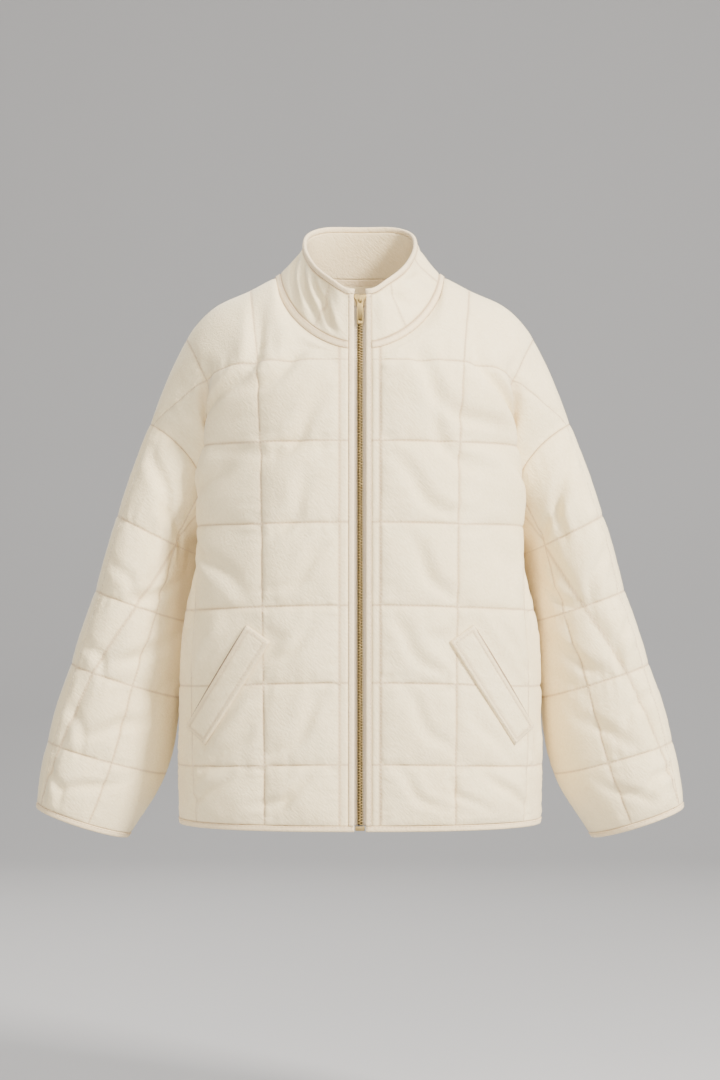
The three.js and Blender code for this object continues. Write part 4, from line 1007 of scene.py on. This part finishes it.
def neck_band():
    h_values = np.linspace(0, BAND_TOP, 7)
    share = np.clip(h_values / BAND_TOP, 1e-6, 1 - 1e-6)[None, :]
    round_neck = (len(NECK_ANGLES), 1)
    lift = np.tile(BAND_PUFF * (4 * share * (1 - share)) ** 0.4, round_neck)
    # painted shade along the neck band's two seams
    shade_mix = np.tile(0.5 * np.exp(-(np.minimum(share, 1 - share) * 8 / 1.4) ** 1.3), round_neck)
    piece, outer, normal = cloth_shell("neck_band", collar_grid(h_values), 1, lift, EDGING, shade_mix, "binding")
    return piece, Panel(NECK_ANGLES, h_values, outer, normal)


# Bound edges
BOUND_TURNS = 14
SEAM_GAP = 0.1
SINK = 0.42  # how far the middle of the roll lies under the cloth, as a share of the wall
ROLL_SQUARE, ROLL_FLAT = 0.7, 0.8  # powers of the oval, across and outwards: 1 is a plain oval
BULGE, BULGE_CHANGE = 0.72, 0.07
EDGE_TINT = 0.06
SEAM_IN, SEAM_OUT = 1.3, WALL * 0.08 + 0.75  # place of the stitches, along the cloth and over it


def bound_section(place, away, normal, bulge):
    """Rolled edge: an oval from the sewn edge, a little over the cloth and round to its inside."""
    middle = place + away * (BINDING / 2 + SEAM_GAP) - normal * WALL * SINK
    section = []
    for turn in np.linspace(0, 2 * math.pi, BOUND_TURNS, endpoint=False):
        c, s = math.cos(turn), math.sin(turn)
        across = math.copysign(abs(c) ** ROLL_SQUARE, c) * BINDING / 2
        out = math.copysign(abs(s) ** ROLL_FLAT, s) * (WALL / 2 + bulge)
        section.append(middle + away * across + normal * out)
    return section


def tube(name, stations, material, closed=False, shade_mix=None):
    """Solid strip through a ring of points at each station."""
    grid = np.array(stations)
    count, sides = grid.shape[:2]
    faces = []
    for i in range(count if closed else count - 1):
        a, b = i * sides, ((i + 1) % count) * sides
        faces += [(a + k, a + (k + 1) % sides, b + (k + 1) % sides, b + k) for k in range(sides)]
    if not closed:
        faces += [tuple(range(sides))[::-1], tuple(range((count - 1) * sides, count * sides))]
    points = grid.reshape(-1, 3)
    volume = sum(np.dot(points[f[0]], np.cross(points[f[1]], points[f[2]])) for f in faces)
    if volume < 0:
        faces = [face[::-1] for face in faces]
    return new_piece(name, points, faces, material, shade_mix)


def bound_edge(name, places, aways, normals, closed=False, seed=0):
    """Bound edge with slight puckers, and the line of stitches near its sewn side."""
    rng = np.random.default_rng(seed)
    places, aways, normals = (np.asarray(v, dtype=float) for v in (places, aways, normals))
    count = len(places)
    loop = np.arange(count)
    wave = sum(np.sin(2 * math.pi * round(rng.uniform(0.06, 0.2) * count) * loop / count + rng.uniform(0, 6))
               for _ in range(4)) / 4
    bulges = BULGE * (1 + BULGE_CHANGE * wave)
    stations = [bound_section(*station) for station in zip(places, aways, normals, bulges)]
    piece = tube(name, stations, EDGING, closed, np.full(count * BOUND_TURNS, EDGE_TINT))
    seam = places + aways * SEAM_IN + normals * SEAM_OUT
    return dress(piece, "binding", name), (seam, normals)


def resampled(points, spacing=2.6):
    points = np.asarray(points, dtype=float)
    along = distances(points)
    return at_distance(points, along, np.linspace(0, along[-1], max(3, int(along[-1] / spacing))))


def front_edge_line(share=1.0):
    body = FRONT_BASE[0] * vec(0, 1, 1) + vec(EDGE_X, 0, 0)
    neck = np.array([collar_point(NECK_START, h) for h in np.linspace(0, share, 24)[1:]])
    line = resampled(np.concatenate([body, neck]))
    along = np.gradient(line, axis=0)
    return line, unit(np.cross(along, vec(-1, 0, 0)))


def front_binding(name, side):
    line, normal = front_edge_line()
    line[:, 0] = EDGE_X
    flip = vec(side, 1, 1)
    away = np.tile(vec(-side, 0, 0), (len(line), 1))
    return bound_edge(name, line * flip, away, normal * flip, seed=5 + side)


def rim_binding():
    start = NECK_START * FRONT_EDGE / EDGE_X
    angles = np.concatenate([[start], NECK_ANGLES, [2 * math.pi - start]])
    places = np.array([collar_point(a, 1) for a in angles])
    below = np.array([collar_point(a, 0.98) for a in angles])
    away = unit(places - below)
    normal = unit(np.cross(np.gradient(places, axis=0), away))
    return bound_edge("collar_binding", places, away, normal, seed=3)


def hem_binding():
    row = BODY_ROWS[0]
    start = plan_angle(row["wide"], FRONT_EDGE)
    front = [plan_arc(row, row["wide"], -row["front"], a) for a in np.linspace(start, QUARTER, 160)]
    back = [plan_arc(row, row["wide"], row["back"], a) for a in np.linspace(QUARTER, 0, 160)[1:]]
    half = np.array(front + back)
    places = resampled(np.concatenate([half, half[-2::-1] * MIRROR]))
    away = np.tile(vec(0, 0, -1), (len(places), 1))
    normal = unit(np.cross(away, np.gradient(places, axis=0)))
    return bound_edge("hem_binding", places, away, normal, seed=7)


def cuff_binding(name, side):
    turns = np.linspace(0, SLEEVE_CELLS, 150, endpoint=False)
    places = np.array([sleeve_point(u, CUFF) for u in turns])
    above = np.array([sleeve_point(u, CUFF - 0.02) for u in turns])
    away = unit(places - above)
    wrapped = np.concatenate([places[-1:], places, places[:1]])
    normal = unit(np.cross((wrapped[2:] - wrapped[:-2]), away))
    turned = [values * vec(side, 1, 1) for values in (places, away, normal)]
    piece, line = bound_edge(name, *turned, closed=True, seed=9)
    return piece, [np.concatenate([values, values[:1]]) for values in line]


# Pocket welts
def on_front(x, z):
    """Grid place of the front panel seen at x and z, by the nearest point and its neighbours."""
    flat = FRONT_BASE[..., [0, 2]]
    near = np.argmin(np.hypot(flat[..., 0] - x, flat[..., 1] - z))
    i, j = np.unravel_index(near, flat.shape[:2])
    i, j = min(i, len(front_s) - 2), min(j, len(panel_t) - 2)
    across, up = flat[i + 1, j] - flat[i, j], flat[i, j + 1] - flat[i, j]
    fu, fv = np.linalg.solve(np.stack([across, up], axis=1), vec(x, z) - flat[i, j])
    s = front_s[i] + fu * (front_s[i + 1] - front_s[i])
    t = panel_t[j] + fv * (panel_t[j + 1] - panel_t[j])
    return s, t


WELT_LONG, WELT_WIDE = 142, 33
WELT_STEPS = 60
WELT_STITCHES = ((1.6, 1.8), (5.0, 5.2))  # two rows, by their distances from the sides and the ends
MOUTH_GAP = 1.5


def pocket_mouth(name, panel):
    """Dark strip along the welt's outer edge, painted as the shadow in the gap that opens to the pocket behind."""
    outwards = unit(WELT["top_outer"] - WELT["top_inner"])
    stations = []
    for f in np.linspace(0.03, 0.97, WELT_STEPS):
        edge = lerp(WELT["top_outer"], WELT["low_outer"], f)
        gap = MOUTH_GAP * math.sin(math.pi * f) ** 0.5
        places = np.array([on_front(*(edge + outwards * across)) for across in (-1.0, gap)])
        base, normal = panel.line(places[:, 0], places[:, 1])
        stations.append([base[k] + normal[k] * out for k, out in ((0, 0.5), (1, 0.5), (1, 0.05), (0, 0.05))])
    return dress(tube(f"{name}_mouth", stations, POCKET_SHADE), "quilted_cloth")


def pocket_welt(name, side, panel):
    """Folded welt with rounded edges, open along its outer edge."""
    lengthways, crossways = np.linspace(0, 1, WELT_STEPS), np.linspace(0, 1, 19)
    from_side = np.minimum(crossways, 1 - crossways) * WELT_WIDE
    outer, inner, normals = [], [], []
    for f in lengthways:
        start = lerp(WELT["top_outer"], WELT["low_outer"], f)
        end = lerp(WELT["top_inner"], WELT["low_inner"], f)
        places = np.array([on_front(*lerp(start, end, g)) for g in crossways])
        base, normal = panel.line(places[:, 0], places[:, 1])
        from_end = min(f, 1 - f) * WELT_LONG
        roll = np.minimum(1, np.minimum(from_end / 3.0, from_side / 2.2)) ** 0.5
        stitched = np.exp(-((np.minimum(from_side, from_end) - 5.0) / 1.3) ** 2)
        ripple = 0.25 * np.sin(f * 38 + crossways * 9) * np.exp(-((from_side - 9) / 6) ** 2)
        height = 1.2 + 2.6 * roll - 0.9 * stitched + ripple
        outer.append(base + normal * height[:, None])
        inner.append(base + normal * 0.15)
        normals.append(normal)
    outer, inner, normals = np.array(outer), np.array(inner), np.array(normals)
    columns, rows = outer.shape[:2]
    points = np.concatenate([outer.reshape(-1, 3), inner.reshape(-1, 3)])
    to_end = np.minimum(lengthways, 1 - lengthways)[:, None] * WELT_LONG
    to_rim = np.minimum(from_side[None, :], to_end)
    # painted shade along the welt's stitch rows and round its rim
    painted_shade = 0.35 * np.exp(-((to_rim - 5) / 1.6) ** 2) + 0.3 * np.exp(-to_rim)
    # painted shadow along the welt's open outer edge
    opening = 0.9 * np.exp(-(crossways[None, :] * WELT_WIDE / 1.3) ** 2) * smooth(to_end, 3, 12)
    # painted shade on the welt's underside
    shade_mix = np.concatenate([np.maximum(painted_shade, opening).ravel(), np.full(columns * rows, 0.5)])
    piece = new_piece(name, points, shell_faces(columns, rows, False, side > 0), CREAM, shade_mix)
    dress(piece, "quilted_cloth", name)
    mouth = pocket_mouth(name, panel)
    welt = Panel(lengthways, crossways, outer, normals)
    insets = [(beside / WELT_WIDE, before / WELT_LONG) for beside, before in WELT_STITCHES]
    lines = [welt.line(lerp(end, 1 - end, lengthways), np.full(WELT_STEPS, edge), 0.1)
             for inset, end in insets for edge in (inset, 1 - inset)]
    lines += [welt.line(np.full(12, edge), lerp(inset, 1 - inset, np.linspace(0, 1, 12)), 0.1)
              for inset, end in insets for edge in (end, 1 - end)]
    return piece, lines, mouth


# Zip
def flat_strip(name, low, high, near, far, share, material):
    line, normal = front_edge_line(share)
    stations = []
    for place, out in zip(line, normal):
        corners = [(low, near), (high, near), (high, far), (low, far)]
        stations.append([vec(x, place[1], place[2]) - out * depth for x, depth in corners])
    return tube(name, stations, material)


CHAIN_TOP, TAPE_TOP = 0.75, 0.8  # share of the collar's height that they reach
TOOTH_PITCH = 3.2
TOOTH_MIDDLE = 1.1


def zip_tape(name, side):
    piece = flat_strip(name, side * 0.4, side * 15, 4.1, 5.1, TAPE_TOP, TAPE_CLOTH)
    return dress(piece, "zip_tape", name)


def zip_teeth():
    """Interlocked metal teeth: each a shank from the tape and a rounded head past the middle."""
    line, normal = front_edge_line(CHAIN_TOP)
    line = np.concatenate([line, line[-1:] + vec(0, 0, 0.2)])
    normal = np.concatenate([normal, normal[-1:]])
    along = distances(line)
    count = int(along[-1] / TOOTH_PITCH)
    outline = [(3.4, -0.48), (1.2, -0.48), (0.5, -0.7), (-0.4, -0.6), (-0.7, 0), (-0.4, 0.6), (0.5, 0.7),
               (1.2, 0.48), (3.4, 0.48)]
    points, faces = [], []
    for side in (1, -1):
        for k in range(count):
            middle = (k + (0.5 if side > 0 else 1.0)) * TOOTH_PITCH
            place = at_distance(line, along, middle)
            out = unit(at_distance(normal, along, middle))
            up = unit(np.cross(vec(1, 0, 0), -out))
            first, sides = len(points), len(outline)
            for depth, shrink in ((1.0, 0.82), (1.5, 1.0), (3.2, 1.0), (3.7, 0.82)):
                for x, z in outline:
                    points.append(vec(side * (TOOTH_MIDDLE + (x - TOOTH_MIDDLE) * shrink), place[1], place[2])
                                  + up * z * shrink - out * depth)
            for ring in range(3):
                a, b = first + ring * sides, first + (ring + 1) * sides
                for c in range(sides):
                    quad = (a + c, a + (c + 1) % sides, b + (c + 1) % sides, b + c)
                    faces.append(quad if side > 0 else quad[::-1])
            front = tuple(range(first, first + sides))
            rear = tuple(corner + 3 * sides for corner in front)
            faces += [front[::-1], rear] if side > 0 else [front, rear[::-1]]
    return dress(new_piece("zip_teeth", points, faces, BRASS), "zip_metal", "zip_chain")


def rounded_plate(name, outline, back, depth, bevel, node=None, body=JACKET):
    """Plate with its outline in x and z, from y forward by its depth, with bevelled edges."""
    front = [(x, back - depth, z) for x, z in outline]
    rear = [(x, back, z) for x, z in outline]
    sides = len(outline)
    faces = [tuple(range(sides)), tuple(range(2 * sides - 1, sides - 1, -1))]
    faces += [(k, k + sides, (k + 1) % sides + sides, (k + 1) % sides) for k in range(sides)]
    piece = new_piece(name, np.array(front + rear), faces, BRASS, body=body)
    edge = piece.modifiers.new("bevel", "BEVEL")
    edge.width, edge.segments, edge.limit_method = bevel * MM, 3, "ANGLE"
    apply_modifiers(piece)
    piece.data.shade_smooth()
    piece.data.set_sharp_from_angle(angle=math.radians(40))
    return dress(piece, "zip_metal", node)


def apply_modifiers(piece):
    graph = bpy.context.evaluated_depsgraph_get()
    mesh = bpy.data.meshes.new_from_object(piece.evaluated_get(graph))
    piece.modifiers.clear()
    piece.data = mesh


def arc_points(centre_x, centre_z, radius, start, end, count=8):
    return [(centre_x + radius * math.cos(math.radians(a)), centre_z + radius * math.sin(math.radians(a)))
            for a in np.linspace(start, end, count)]


def zip_slider(low, high):
    """Slider body with a waisted crown and the lug for its pull, fitted in its construction piece."""
    back, front = high[1], low[1]
    wide, bottom, top = high[0], low[2], high[2]
    lug_deep = 3.8
    plate_front = front + lug_deep
    ears = wide + 1.4
    waist = lerp(top, bottom, 0.5)
    crown = [(ears, top + 1.4), (ears, top - 2.2), (wide * 0.85, waist), (wide * 0.72, bottom)]
    outline = [(-x, z) for x, z in crown] + [(x, z) for x, z in reversed(crown)]
    outline += [(wide * 0.7, top + 2.6), (wide * 0.3, top + 1.2), (0, top + 1.8), (-wide * 0.3, top + 1.2),
                (-wide * 0.7, top + 2.6)]
    rounded_plate("slider_body", outline, back, back - plate_front, 0.8, "zip_slider")
    middle = top - 4.4
    lug = arc_points(0, middle + 0.9, 1.25, 0, 180) + [(-1.25, middle - 2.1), (1.25, middle - 2.1)]
    rounded_plate("slider_lug", lug, plate_front + 0.6, lug_deep + 0.4, 0.5)


def zip_pull(low, high):
    """Pull: an eye round the lug, a waist and a tab with a slot near its end."""
    top, tip, wide = high[2], low[2], high[0]
    hinge = top - 1
    eye, prong = 1.65, 3.3
    half = [(eye, top), (prong - 0.5, top), (prong, top - 1.2), (prong, hinge - 9), (wide - 0.2, hinge - 10),
            (wide - 0.2, tip + 1.4), (wide - 1.2, tip)]
    outline = half + [(-x, z) for x, z in reversed(half)] + [(-eye, hinge - 3.6), (eye, hinge - 3.6)]
    tab = rounded_plate("zip_pull_tab", outline, high[1], high[1] - low[1], 0.4, "zip_pull", PULL_BODY)
    cutter_size = (2.6, 6, 1.7)
    bpy.ops.mesh.primitive_cube_add(size=1, location=(0, (low[1] + high[1]) / 2 * MM, (tip + 4.4) * MM))
    cutter = bpy.context.object
    cutter.scale = [value * MM for value in cutter_size]
    bpy.context.view_layer.update()
    cut = tab.modifiers.new("slot", "BOOLEAN")
    cut.operation, cut.object, cut.solver = "DIFFERENCE", cutter, "EXACT"
    apply_modifiers(tab)
    bpy.data.objects.remove(cutter)


# The jacket
SIDES = {"left": 1, "right": -1}
fronts = {side: front_panel(f"front_{side}", sign) for side, sign in SIDES.items()}
back, back_surface = back_panel()
arms = {side: sleeve(f"sleeve_{side}", sign) for side, sign in SIDES.items()}
collar_piece, collar_surface = collar()
band, band_surface = neck_band()
rim, rim_seam = rim_binding()
hem, hem_seam = hem_binding()
edges = {side: front_binding(f"front_binding_{side}", sign) for side, sign in SIDES.items()}
cuffs = {side: cuff_binding(f"cuff_binding_{side}", sign) for side, sign in SIDES.items()}
welts = {side: pocket_welt(f"pocket_welt_{side}", sign, fronts[side][1]) for side, sign in SIDES.items()}
tapes = {side: zip_tape(f"zip_tape_{side}", sign) for side, sign in SIDES.items()}
zip_teeth()
# dark strip behind the teeth, painted as the shadow in the gaps between them
dress(flat_strip("zip_teeth_shadow", -2.6, 2.6, 3.5, 4.0, CHAIN_TOP, BRASS_SHADOW), "zip_metal")


def node_box(name):
    return [np.array(corner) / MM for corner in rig.box(name)]


zip_slider(*node_box("zip_slider"))
zip_pull(*node_box("zip_pull"))
stop_low, stop_high = node_box("zip_stop")
stop_outline = [(stop_low[0], stop_low[2]), (stop_high[0], stop_low[2]), (stop_high[0], stop_high[2]),
                (stop_low[0], stop_high[2])]
rounded_plate("zip_box", stop_outline, stop_high[1], stop_high[1] - stop_low[1], 0.6, "zip_stop")


LINE_GAP = 0.02  # where a stitch line stops before a seam, in cells
BESIDE_OUTER = 1.07  # second row of stitches along the sleeve's outer line


def quilt_lines(panel, uprights, rows, span, samples=220):
    """Stitch lines of a panel: uprights are whole u, and the level ones part its rows over a span of u."""
    u = np.linspace(*span, samples)
    v = np.linspace(LINE_GAP, rows - LINE_GAP, samples)
    lines = [panel.line(np.full(samples, float(at)), v) for at in uprights]
    return lines + [panel.line(u, np.full(samples, float(at))) for at in range(1, rows)]


def clear_of_welt(lines):
    """Breaks the quilting where a pocket welt covers it."""
    kept = []
    for points, normal in lines:
        covered = on_welt(np.abs(points * vec(1, 0, 0)) + points * vec(0, 1, 1)) > 0.97
        for run in np.split(np.arange(len(points)), np.flatnonzero(np.diff(covered.astype(int))) + 1):
            if len(run) > 3 and not covered[run[0]]:
                kept.append((points[run], normal[run]))
    return kept


def front_stitching(name, panel, bound_seam, welt_lines):
    lines = quilt_lines(panel, range(1, FRONT_END), TOP, (1, FRONT_END - LINE_GAP))
    lines = clear_of_welt(lines) + [bound_seam] + welt_lines
    return stitch_piece(name, lines)


def sleeve_stitching(name, panel, cuff_seam):
    lines = quilt_lines(panel, range(1, SLEEVE_CELLS), CUFF, (0, SLEEVE_CELLS))
    path = np.linspace(0.6, CUFF - 0.05, 200)
    lines.append(panel.line(np.interp(path, sleeve_t, SLANT_AT), path))
    lines.append(panel.line(np.full(len(path), BESIDE_OUTER), path))
    return stitch_piece(name, lines + [cuff_seam])


def collar_stitching():
    heights = np.linspace(BAND_TOP + LINE_GAP, 1 - LINE_GAP, 30)
    lines = [collar_surface.line(np.full(30, math.radians(line)), heights) for line in COLLAR_LINES]
    angles = np.linspace(NECK_START + 0.03, 2 * math.pi - NECK_START - 0.03, 400)
    lines += [band_surface.line(angles, np.full(400, BAND_TOP * share), 0.1) for share in (0.16, 0.84)]
    return stitch_piece("collar_stitching", lines + [rim_seam])


# Cut sizes of the cloth, in metres, as width, length and the share of that rectangle the cut fills
CUTS = {"front": (0.31, 0.66, 0.86), "back": (0.66, 0.66, 0.82), "sleeve": (0.44, 0.47, 0.84),
        "collar": (0.47, 0.068, 0.9)}


def cut_sheet(piece, cut, with_pieces):
    wide, long, share = CUTS[cut]
    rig.sheet(piece, flat=(wide, long), held="hung", area=wide * long * share, with_pieces=with_pieces)


for side, (front, panel) in fronts.items():
    edge, edge_seam = edges[side]
    welt, welt_lines, mouth = welts[side]
    stitched = front_stitching(f"front_stitching_{side}", panel, edge_seam, welt_lines)
    cut_sheet(front, "front", [edge, welt, mouth, tapes[side], stitched])
back_span = BACK_END - LINE_GAP
back_lines = quilt_lines(back_surface, range(-2, 3), TOP, (-back_span, back_span), 400)
cut_sheet(back, "back", [hem, stitch_piece("back_stitching", back_lines + [hem_seam])])
for side, (arm, panel) in arms.items():
    cuff, cuff_seam = cuffs[side]
    cut_sheet(arm, "sleeve", [cuff, sleeve_stitching(f"sleeve_stitching_{side}", panel, cuff_seam)])
cut_sheet(collar_piece, "collar", [rim, band, collar_stitching()])


# Studio
def sweep():
    """Pale floor that curves up into a backdrop."""
    floor_z, wall_y, radius, half = -1.02, 4.6, 1.6, 8.0
    profile = [(-7.0, floor_z), (wall_y - radius, floor_z)]
    profile += [(wall_y - radius + radius * math.sin(a), floor_z + radius - radius * math.cos(a))
                for a in np.linspace(0, QUARTER, 24)[1:]]
    profile.append((wall_y, 6.0))
    points = [(x, y, z) for y, z in profile for x in (-half, half)]
    faces = [(2 * k, 2 * k + 1, 2 * k + 3, 2 * k + 2) for k in range(len(profile) - 1)]
    mesh = bpy.data.meshes.new("backdrop")
    mesh.from_pydata(points, [], faces)
    mesh.shade_smooth()
    mesh.materials.append(PAPER)
    backdrop = bpy.data.objects.new("backdrop", mesh)
    bpy.context.scene.collection.objects.link(backdrop)
    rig.stage(backdrop)


def soft_light(name, place, target, size, power, colour=(1, 1, 1)):
    data = bpy.data.lights.new(name, "AREA")
    data.shape, data.size, data.size_y = "RECTANGLE", size[0], size[1]
    data.energy, data.color = power, colour
    lamp = bpy.data.objects.new(name, data)
    bpy.context.scene.collection.objects.link(lamp)
    lamp.location = place
    aim_at(lamp, target)


def aim_at(item, target):
    item.rotation_euler = (Vector(target) - Vector(item.location)).to_track_quat("-Z", "Y").to_euler()


sweep()
CENTRE = (0, 0, -0.33)
WARM = (1.0, 0.95, 0.87)
soft_light("key", (2.3, -2.1, 1.5), CENTRE, (0.7, 0.7), 380, WARM)
soft_light("front", (-0.6, -3.6, 0.9), CENTRE, (1.5, 1.5), 112, WARM)
soft_light("fill", (-2.6, -1.9, 0.2), CENTRE, (1.4, 1.8), 8, WARM)
soft_light("top", (0.2, 0.1, 2.3), CENTRE, (1.4, 1.0), 50)
soft_light("rear", (-0.6, 2.4, 1.4), CENTRE, (2.0, 1.6), 70, WARM)

world = bpy.data.worlds.new("studio")
world.use_nodes = True
sky = world.node_tree.nodes["Background"]
sky.inputs["Color"].default_value = (1, 1, 1, 1)
sky.inputs["Strength"].default_value = 0.46
bpy.context.scene.world = world

# Camera: level with the middle of the photograph, 3.2 m in front, with 1.242 m over its height
CAMERA_BACK, CAMERA_Z, FRAME_HEIGHT, SENSOR = 3.2, -0.305, 1.242, 24.0
camera_data = bpy.data.cameras.new("camera")
camera_data.sensor_fit, camera_data.sensor_height = "VERTICAL", SENSOR
camera_data.lens = SENSOR * CAMERA_BACK / FRAME_HEIGHT
camera = bpy.data.objects.new("camera", camera_data)
camera.location = (0, -CAMERA_BACK, CAMERA_Z)
camera.rotation_euler = (QUARTER, 0, 0)
bpy.context.scene.collection.objects.link(camera)
bpy.context.scene.camera = camera

with open("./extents.json", "w") as file:
    json.dump({"cad": [list(c) for c in CAD_BOX], "visual": [list(c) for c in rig.bounds()]}, file)
